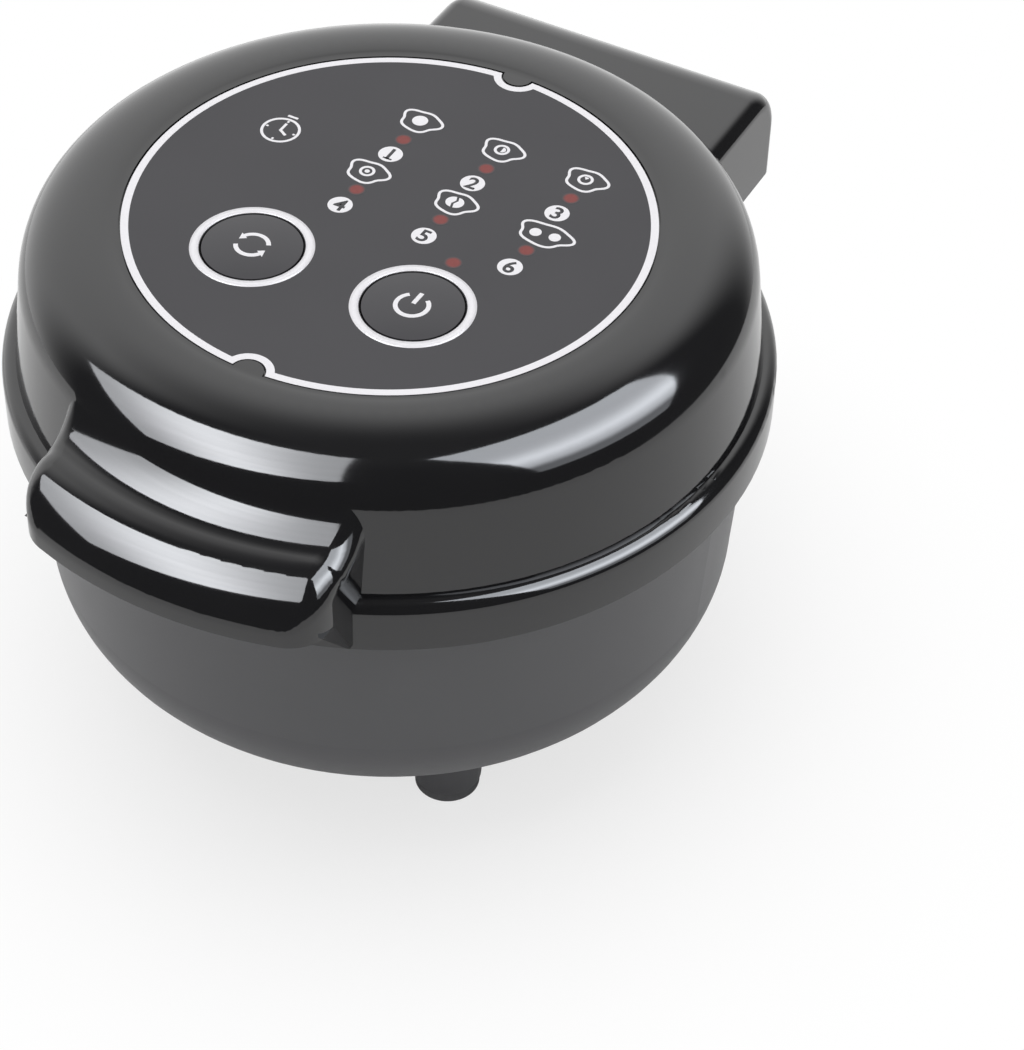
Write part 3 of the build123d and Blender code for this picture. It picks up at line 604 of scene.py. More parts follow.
class Print:
    """Flat ink shapes in millimetres, gathered in one mesh."""

    WELD = 1e-4  # points nearer than this become one
    MITRE = 0.4  # least share of the width across a sharp corner
    CURVE_STEPS = 5  # resolution of the characters' curves

    def __init__(self) -> None:
        """Start empty."""
        self.bm = bmesh.new()

    def strip(self, one: Sequence[Point], other: Sequence[Point], closed: bool) -> None:
        """Fill the band between two lines with the same number of points.

        Args:
            one: the first line.
            other: the second line.
            closed: whether the band's end joins its start.
        """
        a, b = ([self.bm.verts.new((x, y, 0)) for x, y in line] for line in (one, other))
        for i in range(len(a) if closed else len(a) - 1):
            j = (i + 1) % len(a)
            self.bm.faces.new((a[i], a[j], b[j], b[i]))

    def stroke(self, path: Sequence[Point], width: float, closed: bool = False) -> None:
        """Draw a line of even width with mitred corners.

        Args:
            path: its points.
            width: its width.
            closed: whether its end joins its start.
        """
        count = len(path)
        left, right = [], []
        for i, point in enumerate(path):
            here = Vector(point)
            before = Vector(path[i - 1]) if closed or i else None
            after = Vector(path[(i + 1) % count]) if closed or i < count - 1 else None
            sides = [(here - before).normalized()] if before else []
            sides += [(after - here).normalized()] if after else []
            across = sum((Vector((-d.y, d.x)) for d in sides), Vector((0, 0))).normalized()
            reach = width / 2 / max(self.MITRE, across.dot(Vector((-sides[0].y, sides[0].x))))
            left.append(tuple(here + across * reach))
            right.append(tuple(here - across * reach))
        self.strip(left, right, closed)

    def area(self, outline: Sequence[Point]) -> None:
        """Fill a closed outline."""
        self.bm.faces.new([self.bm.verts.new((x, y, 0)) for x, y in outline])

    def text(self, words: str, centre: Point, size: float, weight: float) -> None:
        """Set plain characters.

        Args:
            words: the characters.
            centre: their middle.
            size: their type size.
            weight: how much their outlines are fattened.
        """
        curve = bpy.data.curves.new("set", "FONT")
        curve.body = words
        curve.align_x, curve.align_y = "CENTER", "CENTER"
        curve.size, curve.offset, curve.resolution_u = size, weight, self.CURVE_STEPS
        holder = place_object("set", curve)
        flat = plain_mesh(holder)
        xs, ys = [v.co.x for v in flat.vertices], [v.co.y for v in flat.vertices]
        middle = ((min(xs) + max(xs)) / 2, (min(ys) + max(ys)) / 2)
        flat.transform(Matrix.Translation((centre[0] - middle[0], centre[1] - middle[1], 0)))
        self.bm.from_mesh(flat)
        bpy.data.objects.remove(holder)
        bpy.data.curves.remove(curve)
        bpy.data.meshes.remove(flat)

    def mesh(
        self, low: float, thickness: float, ground: Surface | None = None, finest: float = 0.0
    ) -> bpy.types.Mesh:
        """Thicken the shapes and lay them on a surface.

        Args:
            low: height of their underside in millimetres, above the surface where there is one.
            thickness: how thick the ink is, in millimetres.
            ground: the surface that they follow, or None for a flat one.
            finest: longest edge allowed before a split, in millimetres, or 0.

        Returns:
            The mesh in metres.
        """
        bm = self.bm
        bmesh.ops.remove_doubles(bm, verts=bm.verts, dist=self.WELD)
        bmesh.ops.triangulate(bm, faces=bm.faces)
        while finest and (long := [e for e in bm.edges if e.calc_length() > finest]):
            bmesh.ops.subdivide_edges(bm, edges=long, cuts=1)
            bmesh.ops.triangulate(bm, faces=bm.faces)
        for face in bm.faces:
            if face.normal.z < 0:
                face.normal_flip()
        raised = bmesh.ops.extrude_face_region(bm, geom=bm.faces[:], use_keep_orig=True)["geom"]
        top = {g for g in raised if isinstance(g, bmesh.types.BMVert)}
        for vert in bm.verts:
            base = ground.height(vert.co.x * MM, vert.co.y * MM) / MM if ground else 0.0
            vert.co.z = base + low + (thickness if vert in top else 0.0)
        bmesh.ops.recalc_face_normals(bm, faces=bm.faces)
        bmesh.ops.scale(bm, vec=(MM, MM, MM), verts=bm.verts)
        made = bpy.data.meshes.new("print")
        bm.to_mesh(made)
        bm.free()
        return made


class Recipe:
    """A Geometry Nodes tree with named inputs that puts one unit on every point."""

    def __init__(self, name: str, sizes: Iterable[str]) -> None:
        """Start the tree.

        Args:
            name: its name.
            sizes: the names of its number inputs.
        """
        self.tree = bpy.data.node_groups.new(name, "GeometryNodeTree")
        self.graph = Graph(self.tree)
        kinds = {"Geometry": "Geometry"} | dict.fromkeys(sizes, "Float") | {"Material": "Material"}
        for socket, kind in kinds.items():
            self.tree.interface.new_socket(socket, in_out="INPUT", socket_type=f"NodeSocket{kind}")
        self.tree.interface.new_socket("Geometry", in_out="OUTPUT", socket_type="NodeSocketGeometry")
        self.entry = self.graph.node("NodeGroupInput")

    def given(self, name: str) -> Signal:
        """One of the tree's inputs."""
        return Signal(self.graph, self.entry.outputs[name])

    def vector(self, x: Signal | float = 0.0, y: Signal | float = 0.0, z: Signal | float = 0.0) -> Signal:
        """A vector from three numbers or signals."""
        return self.graph.out("ShaderNodeCombineXYZ", None, {"X": x, "Y": y, "Z": z})

    def raised(self, geometry: Signal, by: Signal) -> Signal:
        """Geometry moved upwards."""
        inputs = {"Geometry": geometry, "Translation": self.vector(z=by)}
        return self.graph.out("GeometryNodeTransform", None, inputs)

    def spread(self, unit: Signal) -> None:
        """Put one unit on every incoming point and close the tree.

        Args:
            unit: the geometry of one piece.
        """
        add = self.graph.out
        many = add("GeometryNodeInstanceOnPoints", None, {"Points": self.given("Geometry"), "Instance": unit})
        real = add("GeometryNodeRealizeInstances", None, {"Geometry": many})
        dressed = add("GeometryNodeSetMaterial", None, {"Geometry": real, "Material": self.given("Material")})
        self.graph.node("NodeGroupOutput", None, {"Geometry": dressed})

    def cook(self, points: Iterable[Place], sizes: Mapping[str, float], finish: Finish) -> bpy.types.Mesh:
        """Run the tree on points and keep the result as a plain mesh.

        Args:
            points: places in millimetres.
            sizes: values of the named inputs in millimetres.
            finish: the material that it sets.

        Returns:
            The mesh in metres.
        """
        seeds = bpy.data.meshes.new("seeds")
        seeds.from_pydata([tuple(part * MM for part in point) for point in points], [], [])
        holder = place_object("seeds", seeds)
        modifier = holder.modifiers.new("recipe", "NODES")
        modifier.node_group = self.tree
        values = {name: size * MM for name, size in sizes.items()} | {"Material": finish.material()}
        for item in self.tree.interface.items_tree:
            if item.in_out == "INPUT" and item.name in values:
                modifier[item.identifier] = values[item.name]
        made = plain_mesh(holder)
        holder.modifiers.remove(modifier)
        bpy.data.objects.remove(holder)
        return made


@dataclass
class PolishedSkin:
    """Copy of a turned moulding whose shading normals follow its profile, so that reflections run clean.

    Corners that face along the profile are evened in rings round the axis, the others where they meet.
    Lengths are in millimetres and angles in radians.
    """

    node: str
    grid: float = 0.02  # size of a ring's cell in radius and in height
    spots_per_mm: float = 500.0
    core: float = 20.0  # radius inside which there are no rings
    lean: float = 0.14  # how far a ring's normal may lean sideways
    gap: float = 0.24  # a wider step between two tilts is a real edge
    fewest: int = 4  # headings that make a ring
    steady: float = 0.006  # how far the normals of a flat face may differ

    def __post_init__(self) -> None:
        """Copy the mesh, and note each corner's normal, place and heading and whether its face is flat."""
        self.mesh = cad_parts[self.node].data.copy()
        self.normals = [corner.vector.copy() for corner in self.mesh.corner_normals]
        self.places = [self.mesh.vertices[corner.vertex_index].co / MM for corner in self.mesh.loops]
        self.outward = [place.xy / max(place.xy.length, 1e-6) for place in self.places]
        self.spots: dict[tuple[int, ...], list[int]] = defaultdict(list)
        self.firm = set()
        for corners in (face.loop_indices for face in self.mesh.polygons):
            first = self.normals[corners[0]]
            if all(self.normals[i].dot(first) > 1.0 - self.steady**2 / 2 for i in corners):
                self.firm.update(corners)

    def to_spot(self, corner: int) -> None:
        """Sort a corner in with those that it meets."""
        self.spots[tuple(round(part * self.spots_per_mm) for part in self.places[corner])].append(corner)

    def rings(self) -> list[list[tuple[float, int]]]:
        """Sort the corners into rings, and the rest into spots.

        Returns:
            For each ring, the tilts and numbers of its corners, cut wherever the tilt makes a step.
        """
        cells: dict[Point, list[tuple[float, int]]] = defaultdict(list)
        for i, (place, normal, out) in enumerate(zip(self.places, self.normals, self.outward)):
            radius = place.xy.length
            if radius > self.core and abs(normal.y * out.x - normal.x * out.y) < self.lean:
                key = (round(radius / self.grid), round(place.z / self.grid))
                cells[key].append((math.atan2(normal.xy.dot(out), normal.z), i))
            else:
                self.to_spot(i)
        found: list[list[tuple[float, int]]] = []
        for cell in cells.values():
            last = -math.inf
            for tilt, i in sorted(cell):
                if tilt - last > self.gap:
                    found.append([])
                found[-1].append((tilt, i))
                last = tilt
        return found

    def even(self, ring: Sequence[tuple[float, int]]) -> None:
        """Give a ring one tilt, or send its corners to their spots where they are too few for a ring.

        Args:
            ring: tilts and numbers of its corners; those of flat faces decide.
        """
        headings = {round(math.atan2(self.places[i].y, self.places[i].x), 3) for _, i in ring}
        if len(headings) < self.fewest:
            for _, i in ring:
                self.to_spot(i)
            return
        tilts = [t for t, i in ring if i in self.firm] or [t for t, _ in ring]
        tilt = sum(tilts) / len(tilts)
        for _, i in ring:
            self.normals[i] = Vector((*(self.outward[i] * math.sin(tilt)), math.cos(tilt)))

    def merge(self, spot: Sequence[int]) -> None:
        """Give the corners that meet in one place a common normal where theirs nearly agree.

        Args:
            spot: the corners; those of flat faces decide for their group.
        """
        groups: list[list[int]] = []
        for i in spot:
            alike = (g for g in groups if self.normals[g[0]].dot(self.normals[i]) > math.cos(self.gap))
            near = next(alike, None)
            if near is None:
                groups.append([i])
            else:
                near.append(i)
        for group in groups:
            chosen = [i for i in group if i in self.firm] or group
            mean = sum((self.normals[i] for i in chosen), Vector()).normalized()
            for i in group:
                self.normals[i] = mean

    def build(self, name: str, body: Body, slot: str, finish: Finish) -> None:
        """Even the normals and let the copy stand for the node.

        Args:
            name: the copy's name.
            body: the body that it rides on.
            slot: the record's material slot.
            finish: its finish.
        """
        for ring in self.rings():
            self.even(ring)
        for spot in self.spots.values():
            self.merge(spot)
        self.mesh.shade_smooth()
        self.mesh.normals_split_custom_set(self.normals)
        settle(name, self.mesh, body, slot, finish, [self.node])


# sub-assemblies


@dataclass
class Assembly:
    """A sub-assembly, with the finishes of the nodes that keep their shape."""

    dressing: Dressing = ()

    def build(self) -> None:
        """Give the CAD nodes their finishes."""
        for finish, nodes in self.dressing:
            for name in nodes:
                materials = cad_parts[name].data.materials
                materials.clear()
                materials.append(finish.material())
                log.info("dressed %s in %s", name, finish.name)


@dataclass
class ControlPanel(Assembly):
    """Print, number marks and lamp windows of the round panel in the lid, in millimetres."""

    dressing: Dressing = ((PANEL_FILM, ("control_panel",)),)
    radius: float = 45.4
    ring_width: float = 1.4
    ring_gap: float = 0.05
    ring_points: int = 128
    notch_centre: float = 45.7
    notch_radius: float = 3.0
    notch_points: int = 22
    button_ring: Point = (8.95, 10.5)
    button_places: tuple[Point, ...] = ((-15.9, -18.5), (14.9, -18.5))
    lamp_radius: float = 1.55
    lamp_places: tuple[Point, ...] = (
        (-8.6, 19.5), (7.8, 19.5), (24.2, 19.5), (-8.6, 3.4), (7.8, 3.4), (24.2, 3.4), (15.2, -5.5),
    )
    number_radius: float = 2.15
    number_places: tuple[Point, ...] = (
        (-8.5, 14.8), (7.7, 14.75), (24.05, 14.7), (-8.9, -1.6), (7.5, -1.8), (23.9, -1.8),
    )
    number_size: float = 4.3
    number_weight: float = 0.09
    foot: tuple[Point, ...] = ((-0.75, -1.33), (0.95, -1.33))  # bar under the figure 1
    foot_width: float = 0.36
    symbol_places: tuple[tuple[Point, Yolk], ...] = (
        ((-8.6, 25.6), Yolk.WHOLE), ((7.8, 25.4), Yolk.HALF), ((24.2, 25.2), Yolk.FIFTH),
        ((-9.4, 8.6), Yolk.SET), ((7.8, 8.6), Yolk.BROKEN), ((25.0, 8.6), Yolk.PAIR),
    )
    symbol_size: float = 2.85
    egg_points: int = 60
    egg_width: float = 1.28
    egg_waves: tuple[Place, ...] = ((0.09, 3, 0.5), (0.06, 5, 1.3))  # height, number and phase
    yolk_points: int = 28
    set_core: float = 0.32  # what is set of a yolk, in radii
    fifth: Point = (54.0, 126.0)
    pair_width: float = 1.3
    pair_yolks: tuple[Place, ...] = ((-1.75, -0.15, 1.05), (1.75, 0.15, 1.05))  # place and radius
    lone_yolk: tuple[Place, ...] = ((-0.2, 0.1, 1.42),)
    crack: tuple[Point, ...] = ((-0.10, 1.0), (0.22, 0.35), (-0.22, -0.30), (0.08, -1.0))  # x, y in radii
    crack_gap: float = 0.22
    clock_place: Point = (-28.5, 11.2)
    clock_radius: float = 3.3
    clock_hands: tuple[Point, ...] = ((0.0, 2.1), (0.0, 0.0), (1.5, -0.9))
    clock_ticks: Point = (2.45, 2.9)
    clock_crown: tuple[Point, ...] = ((-1.0, 4.25), (1.0, 4.25))
    line: float = 0.5
    disc_sides: int = 40
    circle_sides: int = 96

    def rim_line(self, radius: float, notch: float) -> list[Point]:
        """The panel's outline at one distance from its edge.

        Args:
            radius: radius of the round part.
            notch: radius round the centre of a notch.

        Returns:
            A closed line that goes round both notches.
        """
        far = self.notch_centre
        swing = math.degrees(math.acos((radius**2 + far**2 - notch**2) / (2 * radius * far)))
        lean = math.degrees(math.acos((notch**2 + far**2 - radius**2) / (2 * notch * far)))
        line: list[Point] = []
        for top in (90.0, 270.0):
            centre = (far * math.cos(math.radians(top)), far * math.sin(math.radians(top)))
            inward = top + 180.0
            line += arc(centre, notch, inward + lean, inward - lean, self.notch_points)
            line += arc((0, 0), radius, top + swing, top + 180.0 - swing, self.ring_points)
        return line

    def print_ring(self) -> None:
        """White line round the panel that turns inwards round both notches."""
        ink = Print()
        steps = (self.ring_gap, self.ring_width)
        ink.strip(*(self.rim_line(self.radius - step, self.notch_radius + step) for step in steps), True)
        settle("panel_ring_print", ink.mesh(PANEL_TOP - SINK, INK + SINK), Body.LID, "panel_overlay", WHITE_INK)

    def egg_outline(self) -> list[Point]:
        """Draw the wavy outline of a fried egg white round the origin.

        Returns:
            The closed outline.
        """
        line = []
        for i in range(self.egg_points):
            a = 2 * math.pi * i / self.egg_points
            wave = sum(height * math.sin(number * a + phase) for height, number, phase in self.egg_waves)
            r = self.symbol_size * (1 + wave)
            line.append((self.egg_width * r * math.cos(a), r * math.sin(a)))
        return line

    def yolk(self, ink: Print, centre: Point, size: float, kind: Yolk) -> None:
        """Draw one yolk.

        Args:
            ink: the print that it goes into.
            centre: its middle.
            size: its radius.
            kind: what it looks like.
        """
        if kind in (Yolk.WHOLE, Yolk.PAIR):
            ink.area(loop(centre, size, self.yolk_points))
            return
        if kind is Yolk.BROKEN:
            crack = shifted(((x, y * size) for x, y in self.crack[::-1]), centre)
            for side in (-1, 1):
                apart = (side * self.crack_gap, 0.0)
                rim = arc(centre, size, 90, 90 - side * 180, 16)[1:-1]
                ink.area(shifted(crack + rim, apart))
            return
        ink.stroke(loop(centre, size - self.line / 2, self.yolk_points), self.line, True)
        inside = size - self.line * 1.4
        if kind is Yolk.HALF:
            ink.area(arc(centre, inside, -90, 90, 16))
        elif kind is Yolk.FIFTH:
            ink.area([centre] + arc(centre, inside, *self.fifth, 8))
        elif kind is Yolk.SET:
            ink.area(loop(centre, size * self.set_core, 16))

    def clock(self, ink: Print) -> None:
        """Draw the clock of the timer.

        Args:
            ink: the print that it goes into.
        """
        ink.stroke(loop(self.clock_place, self.clock_radius, 48), self.line, True)
        ink.stroke(shifted(self.clock_hands, self.clock_place), self.line)
        for quarter in range(4):
            dx, dy = math.cos(quarter * math.pi / 2), math.sin(quarter * math.pi / 2)
            ink.stroke(shifted(((dx * r, dy * r) for r in self.clock_ticks), self.clock_place), self.line * 0.8)
        ink.stroke(shifted(self.clock_crown, self.clock_place), self.line)

    def print_symbols(self) -> None:
        """Six egg symbols for the programs and a clock for the timer."""
        ink = Print()
        for centre, kind in self.symbol_places:
            pair = kind is Yolk.PAIR
            wide = self.pair_width if pair else 1.0
            ink.stroke(shifted(((x * wide, y) for x, y in self.egg_outline()), centre), self.line, True)
            for x, y, size in self.pair_yolks if pair else self.lone_yolk:
                self.yolk(ink, (centre[0] + x, centre[1] + y), size, kind)
        self.clock(ink)
        settle("program_symbols", ink.mesh(PANEL_TOP - SINK, INK + SINK), Body.LID, "panel_overlay", WHITE_INK)

    def disc_recipe(self) -> Recipe:
        """Round flat spots whose attribute reach runs from the middle to the edge.

        Returns:
            The recipe.
        """
        recipe = Recipe("round_spots", ("Radius", "Thickness"))
        add, radius = recipe.graph.out, recipe.given("Radius")
        inputs = {"Vertices": self.disc_sides, "Radius": radius}
        disc = add("GeometryNodeMeshCircle", {"fill_type": "TRIANGLE_FAN"}, inputs)
        length = recipe.graph.vector_maths("LENGTH", "Value", add("GeometryNodeInputPosition"))
        kept = {"data_type": "FLOAT", "domain": "POINT"}
        inputs = {"Geometry": disc, "Name": REACH, "Value": length / radius}
        marked = add("GeometryNodeStoreNamedAttribute", kept, inputs)
        inputs = {"Mesh": marked, "Offset": recipe.vector(z=recipe.given("Thickness")), "Individual": False}
        raised = add("GeometryNodeExtrudeMesh", {"mode": "FACES"}, inputs)
        under = add("GeometryNodeFlipFaces", None, {"Mesh": marked})
        both = add("GeometryNodeJoinGeometry", None, {0: [raised, under]})
        recipe.spread(add("GeometryNodeMergeByDistance", None, {"Geometry": both, "Distance": 1e-7}))
        return recipe

    def ring_recipe(self) -> Recipe:
        """Flat rings of a given width round their points.

        Returns:
            The recipe.
        """
        recipe = Recipe("flat_rings", ("Radius", "Width", "Thickness"))
        add, given = recipe.graph.out, recipe.given
        inputs = {"Resolution": self.circle_sides, "Radius": given("Radius")}
        path = add("GeometryNodeCurvePrimitiveCircle", {"mode": "RADIUS"}, inputs)
        inputs = {"Width": given("Width"), "Height": given("Thickness")}
        section = add("GeometryNodeCurvePrimitiveQuadrilateral", {"mode": "RECTANGLE"}, inputs)
        recipe.spread(add("GeometryNodeCurveToMesh", None, {"Curve": path, "Profile Curve": section}))
        return recipe

    def mark(self) -> None:
        """Number spots, their figures, the rings round the buttons and the lamp windows."""
        discs = self.disc_recipe()
        for name, places, radius, thickness, finish, slot in (
            ("number_spots", self.number_places, self.number_radius, INK + SINK, WHITE_INK, "panel_overlay"),
            ("lamp_windows", self.lamp_places, self.lamp_radius, INK + SINK / 2, RED_WINDOW, "lamp_red"),
        ):
            points = [(*place, PANEL_TOP - SINK) for place in places]
            mesh = discs.cook(points, {"Radius": radius, "Thickness": thickness}, finish)
            settle(name, mesh, Body.LID, slot)
        inner, outer = self.button_ring
        points = [(*place, PANEL_TOP + (INK - SINK) / 2) for place in self.button_places]
        sizes = {"Radius": (inner + outer) / 2, "Width": outer - inner, "Thickness": INK + SINK}
        settle("button_rings", self.ring_recipe().cook(points, sizes, WHITE_INK), Body.LID, "panel_overlay")
        figures = Print()
        for number, place in enumerate(self.number_places, 1):
            figures.text(str(number), place, self.number_size, self.number_weight)
        figures.stroke(shifted(self.foot, self.number_places[0]), self.foot_width)
        mesh = figures.mesh(PANEL_TOP + INK - SINK / 2, SINK * 2)
        settle("number_figures", mesh, Body.LID, "panel_overlay", PANEL_FILM)

    def build(self) -> None:
        """Dress the panel and print it."""
        super().build()
        self.print_ring()
        self.print_symbols()
        self.mark()


@dataclass
class PushButtons(Assembly):
    """The two domed caps and the symbols on them, in millimetres and degrees."""

    dressing: Dressing = ((CAP_FILM, ("select_button", "start_button")),)
    select: Point = (-15.9, -18.5)
    start: Point = (14.9, -18.5)
    line: float = 0.78
    reach: float = 2.75
    arrow_arc: Point = (25.0, 148.0)
    arrow_tip: float = 26.0
    arrow_half: float = 0.85
    power_arc: Point = (128.0, 412.0)
    power_drop: float = 0.3
    power_bar: Point = (0.1, 3.1)
    finest: float = 0.7

    def cycle(self) -> Print:
        """Draw two arrows that chase each other round a circle.

        Returns:
            The print.
        """
        ink = Print()
        for turn in (0.0, 180.0):
            start, end = (turn + angle for angle in self.arrow_arc)
            ink.stroke(arc(self.select, self.reach, start, end, 22), self.line)
            tip = arc(self.select, self.reach, end, end + self.arrow_tip, 2)[1]
            feet = [arc(self.select, self.reach + side * self.arrow_half, end, end, 2)[0] for side in (-1, 1)]
            ink.area([*feet, tip])
        return ink

    def power(self) -> Print:
        """Draw a ring that is open at its top, with a bar in the gap.

        Returns:
            The print.
        """
        ink = Print()
        x, y = self.start
        ink.stroke(arc((x, y - self.power_drop), self.reach, *self.power_arc, 40), self.line)
        ink.stroke([(x, y + high) for high in self.power_bar], self.line)
        return ink

    def build(self) -> None:
        """Dress the caps and print them."""
        super().build()
        for body, ink in ((Body.SELECT, self.cycle()), (Body.START, self.power())):
            mesh = ink.mesh(-SINK, INK + SINK, Surface(body.value), self.finest)
            settle(f"{body.value}_symbol", mesh, body, "panel_overlay", WHITE_INK)


@dataclass
class LidAssembly(Assembly):
    """Lid shell, inner cover, cooking plate and the screws between them, in millimetres."""

    dressing: Dressing = ((RING_SPECKLED, ("lid_inner_cover",)), (PAN_COATING, ("upper_plate",)))
    screw_circle: float = 59.5
    screw_angles: tuple[float, ...] = (35.0, 145.0, 215.0, 325.0)
    head_low: float = 73.9
    head_radius: float = 1.9
    head_height: float = 1.3
    head_levels: tuple[Point, ...] = ((0.0, 0.62), (0.10, 0.80), (0.26, 0.93), (0.50, 1.0), (1.0, 1.0))
    head_sides: int = 36
    shank_sides: int = 24
    shank_radius: float = 1.1
    shank_top: float = 83.8
    shank_overlap: float = 0.1
    recess_width: float = 0.55
    recess_length: float = 2.3
    recess_depth: float = 0.8

    def screw_sizes(self) -> dict[str, float]:
        """Name the inputs that set a screw's shape, in millimetres.

        Returns:
            The value of each input.
        """
        return {
            "Head Radius": self.head_radius,
            "Head Height": self.head_height,
            "Shank Radius": self.shank_radius,
            "Shank Length": self.shank_top - self.head_low - self.head_height,
            "Recess Width": self.recess_width,
            "Recess Length": self.recess_length,
            "Recess Depth": self.recess_depth,
        }

    def screw_recipe(self) -> Recipe:
        """Pan-head screws with a cross recess, heads down.

        Returns:
            The recipe.
        """
        recipe = Recipe("cross_recess_screws", self.screw_sizes())
        add, given = recipe.graph.out, recipe.given
        radius, height, length = given("Head Radius"), given("Head Height"), given("Shank Length")
        parts = []
        for (low, narrow), (high, wide) in zip(self.head_levels, self.head_levels[1:]):
            inputs = {
                "Vertices": self.head_sides, "Side Segments": 1, "Depth": height * (high - low),
                "Radius Bottom": radius * narrow, "Radius Top": radius * wide,
            }
            step = add("GeometryNodeMeshCone", {"fill_type": "NGON"}, inputs, "Mesh")
            parts.append(recipe.raised(step, height * low))
        inputs = {"Vertices": self.shank_sides, "Radius": given("Shank Radius"), "Depth": length}
        shank = add("GeometryNodeMeshCylinder", {"fill_type": "NGON"}, inputs, "Mesh")
        parts.append(recipe.raised(shank, height + length * 0.5 - self.shank_overlap * MM))
        solid = add("GeometryNodeMeshBoolean", {"operation": "UNION"}, {"Mesh 2": parts})
        cutters = []
        for long, wide in (("Recess Length", "Recess Width"), ("Recess Width", "Recess Length")):
            size = recipe.vector(given(long), given(wide), given("Recess Depth") * 2.0)
            cutters.append(add("GeometryNodeMeshCube", None, {"Size": size}, "Mesh"))
        inputs = {"Mesh 1": solid, "Mesh 2": cutters}
        recipe.spread(add("GeometryNodeMeshBoolean", {"operation": "DIFFERENCE"}, inputs, "Mesh"))
        return recipe

    def build(self) -> None:
        """Dress the lid's nodes, and replace its shell by a polished copy and its plain screws."""
        super().build()
        PolishedSkin("lid_shell").build("polished_lid_shell", Body.LID, "gloss_black_plastic", LID_GLOSS)
        spots = [arc((0, 0), self.screw_circle, angle, angle, 2)[0] for angle in self.screw_angles]
        points = [(*spot, self.head_low) for spot in spots]
        mesh = self.screw_recipe().cook(points, self.screw_sizes(), SCREW_STEEL)
        settle("cross_recess_lid_screws", mesh, Body.LID, "screw_steel", None, ["lid_screws"])


@dataclass
class BaseAssembly(Assembly):
    """Bowl, ring, pan, pads, gland and hinge pins."""

    dressing: Dressing = (
        (HOUSING_SATIN, ("base_housing",)),
        (RING_SPECKLED, ("base_ring",)),
        (PAN_COATING, ("lower_pan",)),
        (PAD_RUBBER, ("cord_gland", "foot_pads")),
        (SCREW_STEEL, ("tie_screws", "hinge_pins")),
    )


@dataclass
class Inside(Assembly):
    """Heaters, boards, parts and wires inside both halves."""

    dressing: Dressing = (
        (ELEMENT_STEEL, ("lower_heating_element", "upper_heating_element")),
        (ELEMENT_STEEL, ("lower_thermostat", "upper_thermostat", "thermal_fuse")),
        (SHIELD_STEEL, ("lower_heat_shield", "upper_heat_shield")),
        (SCREW_STEEL, ("power_board_screws", "control_board_screws", "shield_screws")),
        (BOARD_GREEN, ("power_board", "control_board")),
        (COMPONENT_BLACK, ("power_relay", "microcontroller", "buzzer", "select_switch", "start_switch")),
        (COMPONENT_YELLOW, ("filter_capacitor", "transformer")),
        (COMPONENT_WHITE, ("terminal_block", "loom_connector")),
        (WIRE_SLEEVE, ("base_wiring", "lid_wiring")),
        (LAMP_LENS, ("status_leds",)),
    )


# studio and camera


@dataclass
class Softbox:
    """A large glowing card that only shows as a reflection, in metres."""

    name: str
    centre: Place
    across: Place
    width: float
    height: float
    radiance: float
    distance: float = 1.2
    turn: float = 0.0
    hot_side: float | None = None  # where across the card its glow peaks, from 0 to 1
    hot_up: float | None = None  # the same along its height
    floor_share: float = 0.42  # glow at the edges against the peak
    sharpness: float = 1.5
    low_edge: float = 0.0  # height up to which the glow is weaker, from 0 to 1
    low_from: float = 0.15
    low_share: float = 0.28
    streaks: float = 0.10
    streak_stretch: Place = (0.15, 1.0, 1.0)
    streak_count: float = 7.0
    tint: Colour = (0.94, 0.96, 1.0)

    def swell(self, where: Signal, peak: float) -> Signal:
        """Rise from 0 at the card's near edge to 1 at the peak, and fall to 0 at its far edge."""
        return (where.ease(0.0, peak) * (1.0 - where.ease(peak, 1.0))).power(self.sharpness)

    def glow(self) -> bpy.types.Material:
        """Make its light: brightest in a band across it, with soft streaks along its width.

        Returns:
            The material.
        """
        made = bpy.data.materials.new(self.name)
        made.use_nodes = True
        graph = Graph(made.node_tree)
        spot = graph.node("ShaderNodeSeparateXYZ", None, {0: graph.place()})
        up = Signal(graph, spot.outputs["Y"]) / self.height + 0.5
        side = Signal(graph, spot.outputs["X"]) / self.width + 0.5
        along = graph.place(stretch=self.streak_stretch)
        streak = graph.noise(along, self.height / self.streak_count, 2.0, 0.6)
        level = streak * self.streaks + (1.0 - self.streaks)
        for where, peak in ((side, self.hot_side), (up, self.hot_up)):
            if peak is not None:
                level = level * (self.swell(where, peak) * (1.0 - self.floor_share) + self.floor_share)
        if self.low_edge:
            level = level * (up.ease(self.low_from, self.low_edge) * (1.0 - self.low_share) + self.low_share)
        colour = graph.blend(level, BLACK, self.tint)
        light = graph.out("ShaderNodeEmission", None, {"Color": colour, "Strength": self.radiance})
        graph.node("ShaderNodeOutputMaterial", None, {"Surface": light})
        return made

    def build(self) -> None:
        """Hang the card so that it faces the object."""
        x, y = self.width / 2, self.height / 2
        mesh = bpy.data.meshes.new(self.name)
        mesh.from_pydata([(-x, -y, 0), (x, -y, 0), (x, y, 0), (-x, y, 0)], [], [(0, 1, 2, 3)])
        mesh.materials.append(self.glow())
        card = place_object(self.name, mesh)
        away = Vector(self.centre).normalized()
        across = Vector(self.across)
        across = (across - away * across.dot(away)).normalized()
        across = Matrix.Rotation(self.turn, 3, away) @ across
        axes = Matrix((across, away.cross(across), away)).transposed()
        card.matrix_world = Matrix.Translation(away * self.distance) @ axes.to_4x4()
        card.visible_camera = False
        card.visible_diffuse = False
        card.visible_shadow = False
        log.info("hung %s", self.name)


